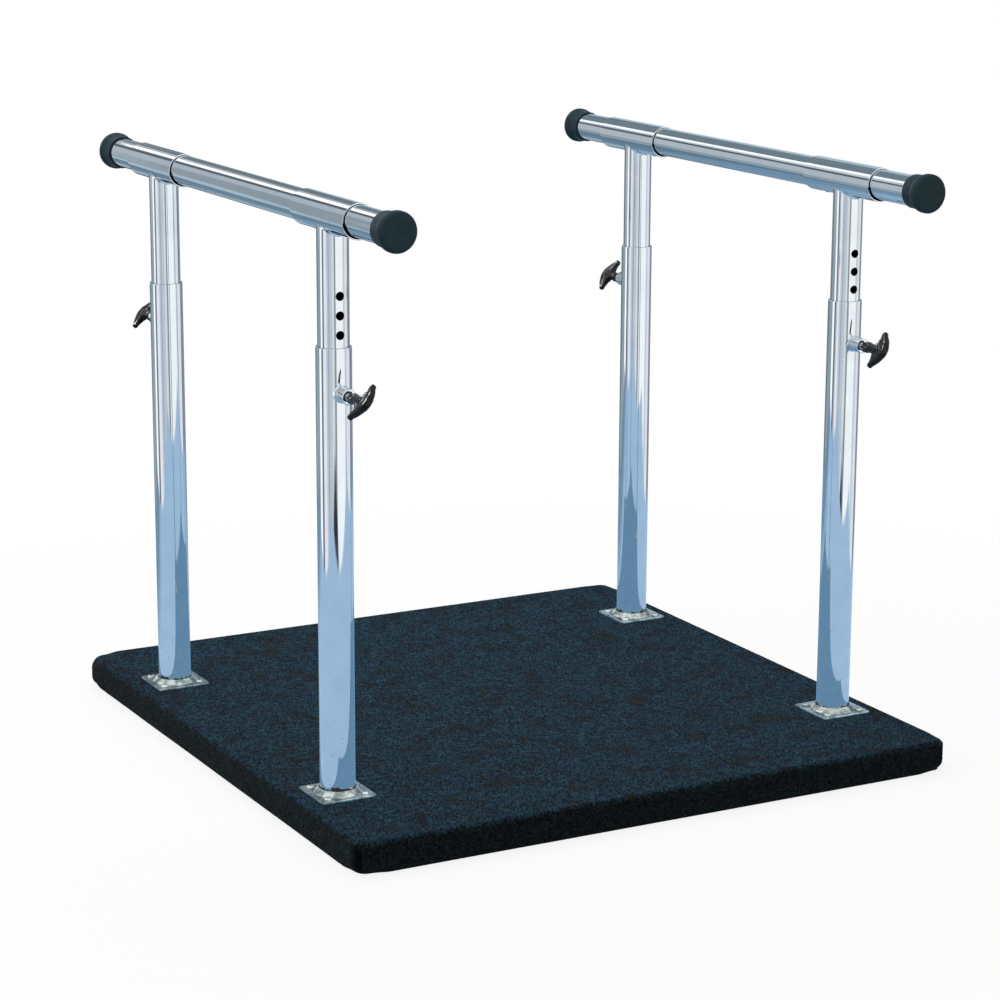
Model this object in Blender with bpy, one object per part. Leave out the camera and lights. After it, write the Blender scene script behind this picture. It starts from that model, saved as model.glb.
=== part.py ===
"""Balance platform: a carpeted board with two telescoping handrails.

The board lies on the floor with its underside at Z = 0. The handrails run along Y, and the
front end is at -Y. All sizes are in metres.
"""
import math

import bmesh
import bpy
from mathutils import Matrix, Vector

# Gaps and running clearances
GAP = 0.0003
SLIDE_CLEARANCE = 0.0003
PIN_CLEARANCE = 0.0003

# Board and carpet
BOARD_WIDTH = 0.914
BOARD_DEPTH = 0.955
BOARD_THICKNESS = 0.03175
BOARD_CORNER_RADIUS = 0.014
CARPET_THICKNESS = 0.0065
CARPET_TOP_ROUND = 0.008
CARPET_BOTTOM_ROUND = 0.0065
CARPET_TURNED_UNDER = 0.065

# Telescoping posts
POST_INSET_X = 0.0585
POST_INSET_Y = 0.1905
INNER_POST_OD = 0.0422
INNER_POST_WALL = 0.00165
OUTER_POST_WALL = 0.0024
OUTER_POST_RISE = 0.606
INNER_POST_TAIL = 0.100

# Height holes and locking pins
HOLE_PITCH = 0.0254
STEPS_UP = 5
STEPS_DOWN = 5
HOLE_DIAMETER = 0.012
PIN_BELOW_POST_TOP = 0.0592
TOP_HOLE_BELOW_RAIL = 0.104
PIN_HOLE_PLAY = 0.0006
PIN_TIP_GAP = 0.0004
PIN_TIP_CHAMFER = 0.001
THREAD_PITCH = 0.00175
LOCK_TURNS = 2
STUD_DIAMETER = 0.008
STUD_IN_KNOB = 0.017
BOSS_DIAMETER = 0.021
BOSS_LENGTH = 0.0237
BOSS_CHAMFER = 0.001

# Knob, a moulded wing on a fluted hub
KNOB_SEAT_GAP = 0.001
HUB_RADIUS = 0.0082
HUB_FLUTES = 6
HUB_FLUTE_DEPTH = 0.0010
FLUTED_ROWS = (4, 5)
HUB_LENGTH = 0.0115
HUB_EASE = 0.0012
NECK_RADIUS = 0.0062
NECK_LENGTH = 0.0145
WING_SPAN = 0.0555
WING_TIP_RADIUS = 0.0042
WING_CROWN = 0.0225
WING_TIP_SETBACK = 0.005
WING_ROOT_SETBACK = 0.002
WING_THICKNESS = 0.0108
WING_EDGE_ROUND = 0.0026
BORE_END_GAP = 0.0005

# Floor flanges and their screws
FLANGE_THICKNESS = 0.0025
FLANGE_LEDGE = 0.0015
FLANGE_LEDGE_WIDTH = 0.004
FLANGE_CORNER_RADIUS = 0.004
COLLAR_SPREAD = 0.0097
COLLAR_HEIGHT = 0.0095
COLLAR_SHOULDER = 0.0031
COLLAR_LIP = 0.0022
SCREW_EDGE = 0.012
SCREW_HEAD_DIAMETER = 0.010
SCREW_HEAD_HEIGHT = 0.0032
SCREW_HEAD_RIM = 0.0011
SCREW_HEAD_DOME = 0.0027
SCREW_DOME_DIAMETER = 0.0072
SCREW_CROWN_DIAMETER = 0.0035
SCREW_HEAD_MARGIN = 0.0004
SCREW_SHANK_DIAMETER = 0.0048
SCREW_LENGTH = 0.025
SCREW_POINT = 0.004
DRIVE_WIDTH = 0.0055
DRIVE_SLOT = 0.0012
DRIVE_DEPTH = 0.0014

# Handrails, their sleeves and end tips
RAIL_OD = 0.0422
RAIL_WALL = 0.00165
RAIL_PAST_POST = 0.1915
SLEEVE_SLACK = 0.00105
SLEEVE_WALL = 0.00165
SLEEVE_LENGTH = 0.1588
SET_SCREW_DIAMETER = 0.006
SET_SCREW_OFFSET = 0.050
HEX_SOCKET_WIDTH = 0.003
HEX_SOCKET_DEPTH = 0.0015
SET_SCREW_STAND_OUT = 0.0008
TIP_LENGTH = 0.036
TIP_END = 0.006
TIP_FACE_RADIUS = 0.0267
TIP_SKIRT_WALL = 0.0020
TIP_FACE_ROUND = 0.0025
TIP_FACE_EASE = 0.00075
TIP_FLARE_START = 0.009
TIP_FLARE_END = 0.021

# Fineness of round shapes
ROUND_LARGE = 24
ROUND_MEDIUM = 16
ROUND_SMALL = 8
HEX_SIDES = 6
BOARD_CORNER_STEPS = 5
FLANGE_CORNER_STEPS = 3
WING_CROWN_STEPS = 10
WING_TIP_STEPS = 5
CUT_OVERRUN = 0.002

# The tilt of each knob's wing from upright, its upper end towards +X
KNOB_TILT = {
    "left_front": math.radians(42),
    "left_rear": math.radians(46),
    "right_front": math.radians(31),
    "right_rear": math.radians(38),
}

# Levels and places worked out from the sizes above
BOARD_BASE = CARPET_THICKNESS + GAP
BOARD_TOP = BOARD_BASE + BOARD_THICKNESS
CARPET_TOP = BOARD_TOP + GAP + CARPET_THICKNESS
CARPET_SIDE = CARPET_THICKNESS + GAP
FLANGE_BASE = CARPET_TOP + GAP
POST_X = BOARD_WIDTH / 2 - POST_INSET_X
POST_Y = BOARD_DEPTH / 2 - POST_INSET_Y

INNER_POST_R = INNER_POST_OD / 2
OUTER_POST_BORE_R = INNER_POST_R + SLIDE_CLEARANCE
OUTER_POST_R = OUTER_POST_BORE_R + OUTER_POST_WALL
OUTER_POST_TOP = CARPET_TOP + OUTER_POST_RISE
PIN_Z = OUTER_POST_TOP - PIN_BELOW_POST_TOP
RAIL_Z = PIN_Z + STEPS_UP * HOLE_PITCH + TOP_HOLE_BELOW_RAIL
LOWEST_HOLE_Z = PIN_Z - STEPS_DOWN * HOLE_PITCH

PIN_R = HOLE_DIAMETER / 2 - PIN_HOLE_PLAY
LOCK_TRAVEL = THREAD_PITCH * LOCK_TURNS
PIN_TIP = INNER_POST_R + PIN_TIP_GAP
BOSS_END = OUTER_POST_R + BOSS_LENGTH
KNOB_START = BOSS_END + KNOB_SEAT_GAP + LOCK_TRAVEL
NECK_END = KNOB_START + HUB_LENGTH + NECK_LENGTH

FLANGE_BORE_R = OUTER_POST_R + GAP
COLLAR_BASE_R = OUTER_POST_R + COLLAR_SPREAD
SCREW_HEAD_R = SCREW_HEAD_DIAMETER / 2
SCREW_OFFSET = (COLLAR_BASE_R + SCREW_HEAD_MARGIN + SCREW_HEAD_R) / math.sqrt(2)
SCREW_SHANK_R = SCREW_SHANK_DIAMETER / 2
SCREW_HOLE_R = SCREW_SHANK_R + GAP
FLANGE_SIDE = 2 * (SCREW_OFFSET + SCREW_EDGE)

RAIL_R = RAIL_OD / 2
SLEEVE_BORE_R = RAIL_R + SLEEVE_SLACK
SLEEVE_R = SLEEVE_BORE_R + SLEEVE_WALL
SLEEVE_Z = RAIL_Z - (SLEEVE_SLACK - GAP)
RAIL_END_Y = POST_Y + RAIL_PAST_POST
RAIL_TUBE_LENGTH = 2 * (RAIL_END_Y - TIP_END - GAP)
TIP_BORE_R = RAIL_R + GAP
SET_SCREW_R = SET_SCREW_DIAMETER / 2

POSTS = {
    "left_front": (-1, -1),
    "left_rear": (-1, 1),
    "right_front": (1, -1),
    "right_rear": (1, 1),
}


def clear_scene():
    for obj in list(bpy.data.objects):
        bpy.data.objects.remove(obj, do_unlink=True)


def linear(channel):
    """One sRGB channel from 0 to 255 as a linear value."""
    value = channel / 255
    return value / 12.92 if value <= 0.04045 else ((value + 0.055) / 1.055) ** 2.4


def finish(name, colour, roughness, metallic=0.0):
    """A Principled material from an sRGB hex colour."""
    material = bpy.data.materials.new(name)
    material.use_nodes = True
    shader = material.node_tree.nodes["Principled BSDF"]
    rgb = [linear(int(colour[i : i + 2], 16)) for i in (0, 2, 4)]
    shader.inputs["Base Color"].default_value = (*rgb, 1.0)
    shader.inputs["Roughness"].default_value = roughness
    shader.inputs["Metallic"].default_value = metallic
    material.diffuse_color = (*rgb, 1.0)
    return material


def new_object(name, bm, material=None):
    """A mesh object made from a bmesh, with faces pointing out and round sides smooth."""
    bmesh.ops.recalc_face_normals(bm, faces=bm.faces)
    mesh = bpy.data.meshes.new(name)
    bm.to_mesh(mesh)
    bm.free()
    mesh.shade_smooth()
    mesh.set_sharp_from_angle(angle=math.radians(35))
    if material:
        mesh.materials.append(material)
    obj = bpy.data.objects.new(name, mesh)
    bpy.context.scene.collection.objects.link(obj)
    return obj


def place(obj, parent=None, at=(0, 0, 0)):
    obj.location = at
    obj.parent = parent
    return obj


def empty(name, at=(0, 0, 0), parent=None, turn=0.0):
    obj = bpy.data.objects.new(name, None)
    obj.empty_display_size = 0.03
    bpy.context.scene.collection.objects.link(obj)
    obj.rotation_euler = (0, 0, turn)
    return place(obj, parent, at)


def turned(profile, sides, along="Z", flutes=0, flute_depth=0.0, fluted=()):
    """A bmesh turned from (radius, distance) points.

    A profile that starts and ends on the axis is a solid with closed poles, and any other is
    a closed loop. Along "OUT" distance runs along -Y. Rows listed in fluted get a wavy radius.
    """
    solid = profile[0][0] == 0 and profile[-1][0] == 0
    bm = bmesh.new()
    rows = []
    for index, (radius, distance) in enumerate(profile):
        if radius == 0:
            points = [(0, 0, distance)]
        else:
            points = []
            for step in range(sides):
                angle = 2 * math.pi * step / sides
                wave = flute_depth * (math.cos(flutes * angle) - 1) if index in fluted else 0
                reach = radius + wave
                points.append((reach * math.cos(angle), reach * math.sin(angle), distance))
        if along == "OUT":
            points = [(x, -z, y) for x, y, z in points]
        rows.append([bm.verts.new(point) for point in points])
    pairs = list(zip(rows, rows[1:]))
    if not solid:
        pairs.append((rows[-1], rows[0]))
    for lower, upper in pairs:
        for step in range(sides):
            after = (step + 1) % sides
            if len(lower) == 1:
                bm.faces.new((lower[0], upper[step], upper[after]))
            elif len(upper) == 1:
                bm.faces.new((lower[after], lower[step], upper[0]))
            else:
                bm.faces.new((lower[step], lower[after], upper[after], upper[step]))
    return bm


def tube(radius, bore_radius, low, high, sides, along="Z"):
    profile = [(bore_radius, low), (radius, low), (radius, high), (bore_radius, high)]
    return turned(profile, sides, along)


def rod(radius, low, high, sides, along="Z"):
    return turned([(0, low), (radius, low), (radius, high), (0, high)], sides, along)


def rounded_rectangle(width, depth, radius, corner_steps=BOARD_CORNER_STEPS):
    """Outline points of a rectangle about the origin with round corners."""
    points = []
    for quarter, (sx, sy) in enumerate(((1, 1), (-1, 1), (-1, -1), (1, -1))):
        centre = Vector((sx * (width / 2 - radius), sy * (depth / 2 - radius)))
        for step in range(corner_steps + 1):
            angle = math.pi / 2 * (quarter + step / corner_steps)
            points.append(centre + radius * Vector((math.cos(angle), math.sin(angle))))
    return points


def slab(outline, low, high):
    """A flat-sided solid of an outline, from one height to another."""
    bm = bmesh.new()
    base = bm.faces.new([bm.verts.new((x, y, low)) for x, y in outline])
    top = bmesh.ops.extrude_face_region(bm, geom=[base])
    corners = [item for item in top["geom"] if isinstance(item, bmesh.types.BMVert)]
    bmesh.ops.translate(bm, verts=corners, vec=(0, 0, high - low))
    return bm


def box(size, centre):
    bm = bmesh.new()
    bmesh.ops.create_cube(bm, size=1.0)
    bmesh.ops.scale(bm, verts=bm.verts, vec=size)
    bmesh.ops.translate(bm, verts=bm.verts, vec=centre)
    return bm


def merged(parts):
    """One bmesh holding several, which are freed."""
    whole = bmesh.new()
    for part in parts:
        mesh = bpy.data.meshes.new("merge")
        part.to_mesh(mesh)
        part.free()
        whole.from_mesh(mesh)
        bpy.data.meshes.remove(mesh)
    return whole


def moved(bm, offset):
    bmesh.ops.translate(bm, verts=bm.verts, vec=offset)
    return bm


def combine(obj, bm, label, operation="DIFFERENCE"):
    """Cuts a shape from an object, or joins it on, with an exact Boolean modifier."""
    tool = new_object(obj.name + "_" + label, bm)
    tool.parent = obj
    tool.hide_render = True
    tool.display_type = "WIRE"
    modifier = obj.modifiers.new(label, "BOOLEAN")
    modifier.operation = operation
    modifier.solver = "EXACT"
    modifier.object = tool
    return obj


def screw_places():
    """The flange screws' places about their post's axis."""
    offset = SCREW_OFFSET
    return [(-offset, offset), (-offset, -offset), (offset, -offset), (offset, offset)]


def all_screw_places():
    """Every flange screw's place on the board."""
    for sx, sy in POSTS.values():
        for x, y in screw_places():
            yield sx * POST_X + x, sy * POST_Y + y


def screw_hole_cutters(low, high):
    shapes = []
    for x, y in all_screw_places():
        shapes.append(moved(rod(SCREW_HOLE_R, low, high, ROUND_SMALL), (x, y, 0)))
    return merged(shapes)


def make_board():
    outline = rounded_rectangle(BOARD_WIDTH, BOARD_DEPTH, BOARD_CORNER_RADIUS)
    board = new_object("platform_board", slab(outline, BOARD_BASE, BOARD_TOP), PLYWOOD)
    holes = screw_hole_cutters(BOARD_BASE - CUT_OVERRUN, BOARD_TOP + CUT_OVERRUN)
    return combine(board, holes, "screw_holes")


def make_carpet():
    """The carpet over the top and sides, turned under along the four edges."""
    outline = rounded_rectangle(
        BOARD_WIDTH + 2 * CARPET_SIDE,
        BOARD_DEPTH + 2 * CARPET_SIDE,
        BOARD_CORNER_RADIUS + CARPET_SIDE,
    )
    bm = slab(outline, 0, CARPET_TOP)
    for height, round_off in ((CARPET_TOP, CARPET_TOP_ROUND), (0, CARPET_BOTTOM_ROUND)):
        rim = [
            edge
            for edge in bm.edges
            if all(abs(vert.co.z - height) < GAP / 10 for vert in edge.verts)
        ]
        bmesh.ops.bevel(bm, geom=rim, offset=round_off, segments=2, profile=0.5, affect="EDGES")
    carpet = new_object("carpet_cover", bm, CARPET)
    hollow = rounded_rectangle(
        BOARD_WIDTH + 2 * GAP, BOARD_DEPTH + 2 * GAP, BOARD_CORNER_RADIUS + GAP
    )
    combine(carpet, slab(hollow, CARPET_THICKNESS, BOARD_TOP + GAP), "board_room")
    bare = slab(
        rounded_rectangle(
            BOARD_WIDTH - 2 * CARPET_TURNED_UNDER,
            BOARD_DEPTH - 2 * CARPET_TURNED_UNDER,
            BOARD_CORNER_RADIUS,
        ),
        -CUT_OVERRUN,
        BOARD_BASE + CUT_OVERRUN,
    )
    combine(carpet, bare, "bare_underside")
    holes = screw_hole_cutters(BOARD_TOP - CUT_OVERRUN, CARPET_TOP + CUT_OVERRUN)
    return combine(carpet, holes, "screw_holes")


def make_flange(name, base):
    """A square plate with a raised round collar that the outer post stands in."""
    outline = rounded_rectangle(
        FLANGE_SIDE, FLANGE_SIDE, FLANGE_CORNER_RADIUS, FLANGE_CORNER_STEPS
    )
    flange = new_object(name + "_flange", slab(outline, 0, FLANGE_THICKNESS), ZINC)
    lip_r = FLANGE_BORE_R + COLLAR_LIP
    slope_r = (lip_r + COLLAR_BASE_R) / 2
    collar = turned(
        [
            (0, FLANGE_LEDGE / 2),
            (COLLAR_BASE_R, FLANGE_LEDGE / 2),
            (COLLAR_BASE_R, FLANGE_THICKNESS),
            (slope_r, FLANGE_THICKNESS + COLLAR_SHOULDER),
            (lip_r, COLLAR_HEIGHT),
            (0, COLLAR_HEIGHT),
        ],
        ROUND_LARGE,
    )
    combine(flange, collar, "collar", "UNION")
    socket = rod(FLANGE_BORE_R, FLANGE_LEDGE, COLLAR_HEIGHT + CUT_OVERRUN, ROUND_LARGE)
    combine(flange, socket, "post_socket")
    drain_r = FLANGE_BORE_R - FLANGE_LEDGE_WIDTH
    drain = rod(drain_r, -CUT_OVERRUN, FLANGE_LEDGE + CUT_OVERRUN, ROUND_MEDIUM)
    combine(flange, drain, "ledge_opening")
    holes = []
    for x, y in screw_places():
        hole = rod(SCREW_HOLE_R, -CUT_OVERRUN, FLANGE_THICKNESS + CUT_OVERRUN, ROUND_SMALL)
        holes.append(moved(hole, (x, y, 0)))
    combine(flange, merged(holes), "screw_holes")
    return place(flange, base, (0, 0, FLANGE_BASE))


def screw_mesh():
    """A pan-head wood screw, its head seated at Z = 0, with a crossed drive recess."""
    profile = [
        (0, -SCREW_LENGTH),
        (SCREW_SHANK_R, -SCREW_LENGTH + SCREW_POINT),
        (SCREW_SHANK_R, 0),
        (SCREW_HEAD_R, 0),
        (SCREW_HEAD_R, SCREW_HEAD_RIM),
        (SCREW_DOME_DIAMETER / 2, SCREW_HEAD_DOME),
        (SCREW_CROWN_DIAMETER / 2, SCREW_HEAD_HEIGHT),
        (0, SCREW_HEAD_HEIGHT),
    ]
    source = new_object("screw_pattern", turned(profile, ROUND_SMALL), ZINC)
    depth = DRIVE_DEPTH + CUT_OVERRUN
    level = (0, 0, SCREW_HEAD_HEIGHT - DRIVE_DEPTH + depth / 2)
    combine(source, box((DRIVE_WIDTH, DRIVE_SLOT, depth), level), "drive_slot_a")
    combine(source, box((DRIVE_SLOT, DRIVE_WIDTH, depth), level), "drive_slot_b")
    return applied(source)


def applied(obj):
    """The object's mesh with its modifiers applied. The object and its tools are removed."""
    bpy.context.view_layer.update()
    graph = bpy.context.evaluated_depsgraph_get()
    mesh = bpy.data.meshes.new_from_object(obj.evaluated_get(graph))
    for item in [*obj.children, obj]:
        bpy.data.objects.remove(item, do_unlink=True)
    return mesh


def make_flange_screws(name, base, mesh):
    for number, (x, y) in enumerate(screw_places(), 1):
        screw = bpy.data.objects.new(f"{name}_flange_screw_{number}", mesh)
        bpy.context.scene.collection.objects.link(screw)
        place(screw, base, (x, y, FLANGE_BASE + FLANGE_THICKNESS + GAP))


def make_outer_post(name, base):
    low = FLANGE_BASE + FLANGE_LEDGE + GAP
    shape = tube(OUTER_POST_R, OUTER_POST_BORE_R, low, OUTER_POST_TOP, ROUND_LARGE)
    post = new_object(name + "_outer_post", shape, CHROME)
    cutter = rod(PIN_R + PIN_CLEARANCE, 0, BOSS_END, ROUND_MEDIUM, "OUT")
    combine(post, moved(cutter, (0, 0, PIN_Z)), "pin_hole")
    return place(post, base)


def make_boss(name, base):
    """The threaded boss that carries the locking pin, coped to the outer post."""
    bore = PIN_R + PIN_CLEARANCE
    boss_r = BOSS_DIAMETER / 2
    profile = [
        (bore, 0),
        (boss_r, 0),
        (boss_r, BOSS_END - BOSS_CHAMFER),
        (boss_r - BOSS_CHAMFER, BOSS_END),
        (bore, BOSS_END),
    ]
    boss = new_object(name + "_pin_boss", turned(profile, ROUND_MEDIUM, "OUT"), CHROME)
    saddle = rod(OUTER_POST_R + GAP, -BOSS_DIAMETER, BOSS_DIAMETER, ROUND_LARGE)
    combine(boss, saddle, "post_saddle")
    return place(boss, base, (0, 0, PIN_Z))


def make_pin(name, parent):
    """The locking pin and the stud that the knob is held on. It is backed out of the hole."""
    stud_r = STUD_DIAMETER / 2
    stud_end = KNOB_START + STUD_IN_KNOB
    profile = [
        (0, PIN_TIP),
        (PIN_R - PIN_TIP_CHAMFER, PIN_TIP),
        (PIN_R, PIN_TIP + PIN_TIP_CHAMFER),
        (PIN_R, BOSS_END - BOSS_CHAMFER),
        (stud_r, BOSS_END),
        (stud_r, stud_end),
        (0, stud_end),
    ]
    pin = new_object(name + "_lock_pin", turned(profile, ROUND_MEDIUM, "OUT"), CHROME)
    return place(pin, parent)


def wing_outline():
    """The wing's outline as (across, out) points: a crowned front and round tips."""
    tip_across = WING_SPAN / 2 - WING_TIP_RADIUS
    tip_out = NECK_END + WING_TIP_SETBACK
    crown_out = NECK_END + WING_CROWN
    rise = crown_out - (tip_out + WING_TIP_RADIUS)
    front_r = (tip_across**2 + rise**2) / (2 * rise)
    front_centre = crown_out - front_r
    lean = math.asin(tip_across / front_r)
    points = []
    for step in range(WING_CROWN_STEPS + 1):
        angle = lean * (1 - 2 * step / WING_CROWN_STEPS)
        points.append((front_r * math.sin(angle), front_centre + front_r * math.cos(angle)))
    for side in (-1, 1):
        for step in range(1, WING_TIP_STEPS):
            angle = math.pi * step / WING_TIP_STEPS
            turn = angle if side < 0 else math.pi - angle
            across = side * (tip_across + WING_TIP_RADIUS * math.sin(turn))
            points.append((across, tip_out + WING_TIP_RADIUS * math.cos(turn)))
        if side < 0:
            points.append((-tip_across, tip_out - WING_TIP_RADIUS))
            points.append((-NECK_RADIUS, NECK_END - WING_ROOT_SETBACK))
            points.append((NECK_RADIUS, NECK_END - WING_ROOT_SETBACK))
            points.append((tip_across, tip_out - WING_TIP_RADIUS))
    return points


def make_knob(name, parent, tilt):
    """A moulded knob: a fluted hub, a neck and a crowned wing. It turns about the pin's axis."""
    stud_bore = STUD_DIAMETER / 2 + GAP
    bore_end = KNOB_START + STUD_IN_KNOB + BORE_END_GAP
    hub_end = KNOB_START + HUB_LENGTH
    profile = [
        (0, bore_end),
        (stud_bore, bore_end),
        (stud_bore, KNOB_START),
        (HUB_RADIUS - HUB_EASE, KNOB_START),
        (HUB_RADIUS, KNOB_START + HUB_EASE),
        (HUB_RADIUS, hub_end - HUB_EASE),
        (NECK_RADIUS, hub_end),
        (NECK_RADIUS, NECK_END + WING_TIP_SETBACK),
        (0, NECK_END + WING_TIP_SETBACK),
    ]
    hub = turned(profile, ROUND_LARGE, "OUT", HUB_FLUTES, HUB_FLUTE_DEPTH, FLUTED_ROWS)
    knob = new_object(name + "_knob", hub, BLACK_PLASTIC)
    outline = wing_outline()
    wing = bmesh.new()
    half = WING_THICKNESS / 2
    face = wing.faces.new([wing.verts.new((-half, -out, across)) for across, out in outline])
    raised = bmesh.ops.extrude_face_region(wing, geom=[face])
    corners = [item for item in raised["geom"] if isinstance(item, bmesh.types.BMVert)]
    bmesh.ops.translate(wing, verts=corners, vec=(WING_THICKNESS, 0, 0))
    rims = [
        edge for edge in wing.edges if abs(edge.verts[0].co.x - edge.verts[1].co.x) < GAP
    ]
    bmesh.ops.bevel(wing, geom=rims, offset=WING_EDGE_ROUND, segments=1, affect="EDGES")
    combine(knob, wing, "wing", "UNION")
    place(knob, parent)
    knob.rotation_euler = (0, tilt, 0)
    return knob


def make_inner_post(name, parent):
    """The chromed inner post with its row of height holes, coped under the sleeve."""
    low = LOWEST_HOLE_Z - INNER_POST_TAIL
    bore_r = INNER_POST_R - INNER_POST_WALL
    shape = tube(INNER_POST_R, bore_r, low, SLEEVE_Z, ROUND_LARGE)
    post = new_object(name + "_inner_post", shape, CHROME)
    holes = []
    for step in range(-STEPS_DOWN, STEPS_UP + 1):
        hole = rod(HOLE_DIAMETER / 2, 0, OUTER_POST_R, ROUND_SMALL, "OUT")
        holes.append(moved(hole, (0, 0, PIN_Z + step * HOLE_PITCH)))
    combine(post, merged(holes), "height_holes")
    cope = rod(SLEEVE_R + GAP, -OUTER_POST_R, OUTER_POST_R, ROUND_LARGE, "OUT")
    combine(post, moved(cope, (0, 0, SLEEVE_Z)), "sleeve_cope")
    return place(post, parent)


def make_sleeve(name, parent):
    """The tube on top of the inner post that the handrail passes through."""
    half = SLEEVE_LENGTH / 2
    shape = tube(SLEEVE_R, SLEEVE_BORE_R, -half, half, ROUND_LARGE, "OUT")
    sleeve = new_object(name + "_sleeve", moved(shape, (0, 0, SLEEVE_Z)), CHROME)
    cutter = rod(SET_SCREW_R + GAP, SLEEVE_Z - SLEEVE_R - CUT_OVERRUN, SLEEVE_Z, ROUND_SMALL)
    combine(sleeve, moved(cutter, (0, SET_SCREW_OFFSET, 0)), "set_screw_hole")
    return place(sleeve, parent)


def make_set_screw(name, parent):
    """The screw under the sleeve that presses the handrail up against it."""
    head = SLEEVE_Z - SLEEVE_R - SET_SCREW_STAND_OUT
    end = RAIL_Z - RAIL_R - GAP
    screw = new_object(name + "_set_screw", rod(SET_SCREW_R, head, end, ROUND_SMALL), ZINC)
    socket = rod(HEX_SOCKET_WIDTH / 2, head - CUT_OVERRUN, head + HEX_SOCKET_DEPTH, HEX_SIDES)
    combine(screw, socket, "hex_socket")
    return place(screw, parent, (0, SET_SCREW_OFFSET, 0))


def make_handrail(side, parent):
    half = RAIL_TUBE_LENGTH / 2
    shape = tube(RAIL_R, RAIL_R - RAIL_WALL, -half, half, ROUND_LARGE, "OUT")
    rail = new_object(side + "_handrail", shape, CHROME)
    return place(rail, parent, (0, 0, RAIL_Z))


def make_tip(name, parent):
    """A rubber tip pushed over the handrail's end, wider at its face. Out is its face."""
    face = RAIL_END_Y
    skirt_r = TIP_BORE_R + TIP_SKIRT_WALL
    profile = [
        (0, face),
        (TIP_FACE_RADIUS - TIP_FACE_ROUND, face),
        (TIP_FACE_RADIUS - TIP_FACE_EASE, face - TIP_FACE_EASE),
        (TIP_FACE_RADIUS, face - TIP_FACE_ROUND),
        (TIP_FACE_RADIUS, face - TIP_FLARE_START),
        (skirt_r, face - TIP_FLARE_END),
        (skirt_r, face - TIP_LENGTH),
        (TIP_BORE_R, face - TIP_LENGTH),
        (TIP_BORE_R, face - TIP_END),
        (0, face - TIP_END),
    ]
    tip = new_object(name + "_rail_tip", turned(profile, ROUND_LARGE, "OUT"), RUBBER)
    return place(tip, parent, (0, 0, RAIL_Z))


def facing(sy):
    """The turn about Z that points a post's knob side outwards, to the front or the rear."""
    return 0.0 if sy < 0 else math.pi


def make_post_group(name, sx, sy, screw):
    """Everything that stands still at one corner, and the pin and knob that it carries."""
    base = empty(name + "_base", (sx * POST_X, sy * POST_Y, 0), None, facing(sy))
    make_flange(name, base)
    make_flange_screws(name, base, screw)
    make_outer_post(name, base)
    make_boss(name, base)
    pin_axis = empty(name + "_pin_axis", (0, 0, PIN_Z), base)
    make_pin(name, pin_axis)
    make_knob(name, pin_axis, -sy * KNOB_TILT[name])


def make_rail_group(side, sx):
    """One handrail with its sleeves, inner posts and tips, which slide up and down together."""
    slide = empty(side + "_rail_slide_axis", (sx * POST_X, 0, 0))
    make_handrail(side, slide)
    for end, sy in (("front", -1), ("rear", 1)):
        name = f"{side}_{end}"
        stand = empty(name + "_stand", (0, sy * POST_Y, 0), slide, facing(sy))
        make_inner_post(name, stand)
        make_sleeve(name, stand)
        make_set_screw(name, stand)
        rail_end = empty(name + "_rail_end", (0, 0, 0), slide, facing(sy))
        make_tip(name, rail_end)


clear_scene()
PLYWOOD = finish("birch_plywood", "C79F6B", 0.6)
CARPET = finish("heather_blue_carpet", "22323F", 0.95)
CHROME = finish("chromed_steel_tube", "C9CED3", 0.08, 1.0)
ZINC = finish("zinc_plated_steel", "B9BDBC", 0.32, 1.0)
BLACK_PLASTIC = finish("black_moulded_plastic", "0E1113", 0.25)
RUBBER = finish("black_rubber", "1B2226", 0.7)
make_board()
make_carpet()
screw = screw_mesh()
for name, (sx, sy) in POSTS.items():
    make_post_group(name, sx, sy, screw)
for side, sx in (("left", -1), ("right", 1)):
    make_rail_group(side, sx)
bpy.context.view_layer.update()
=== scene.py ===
import math

import bmesh
import bpy
from mathutils import Matrix, Vector, noise
from mathutils.geometry import delaunay_2d_cdt


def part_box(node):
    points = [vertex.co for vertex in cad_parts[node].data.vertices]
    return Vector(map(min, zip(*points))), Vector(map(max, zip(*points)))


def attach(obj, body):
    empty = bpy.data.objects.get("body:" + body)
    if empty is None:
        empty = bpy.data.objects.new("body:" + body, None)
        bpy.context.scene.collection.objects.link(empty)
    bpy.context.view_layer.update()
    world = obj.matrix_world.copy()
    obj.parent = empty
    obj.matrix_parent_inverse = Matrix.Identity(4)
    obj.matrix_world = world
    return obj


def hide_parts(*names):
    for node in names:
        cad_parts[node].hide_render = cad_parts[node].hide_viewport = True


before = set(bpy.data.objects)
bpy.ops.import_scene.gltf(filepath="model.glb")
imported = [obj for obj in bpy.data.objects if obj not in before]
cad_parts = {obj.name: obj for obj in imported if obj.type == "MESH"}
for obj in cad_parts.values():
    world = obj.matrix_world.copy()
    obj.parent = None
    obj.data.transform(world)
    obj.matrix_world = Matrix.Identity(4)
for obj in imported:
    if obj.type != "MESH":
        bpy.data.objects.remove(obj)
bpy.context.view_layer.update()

MM = 0.001
CORNERS = ["left_front", "left_rear", "right_front", "right_rear"]
WHITE = (1.0, 1.0, 1.0, 1.0)

# Sockets of a Mix node that blends colours.
FACTOR, FIRST, SECOND, BLENDED = 0, 6, 7, 2


def linear(colour):
    """An sRGB hex colour such as C9CED3 as a linear RGBA colour."""
    channels = [int(colour[i : i + 2], 16) / 255 for i in (0, 2, 4)]
    return [c / 12.92 if c <= 0.04045 else ((c + 0.055) / 1.055) ** 2.4 for c in channels] + [1.0]


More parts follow.
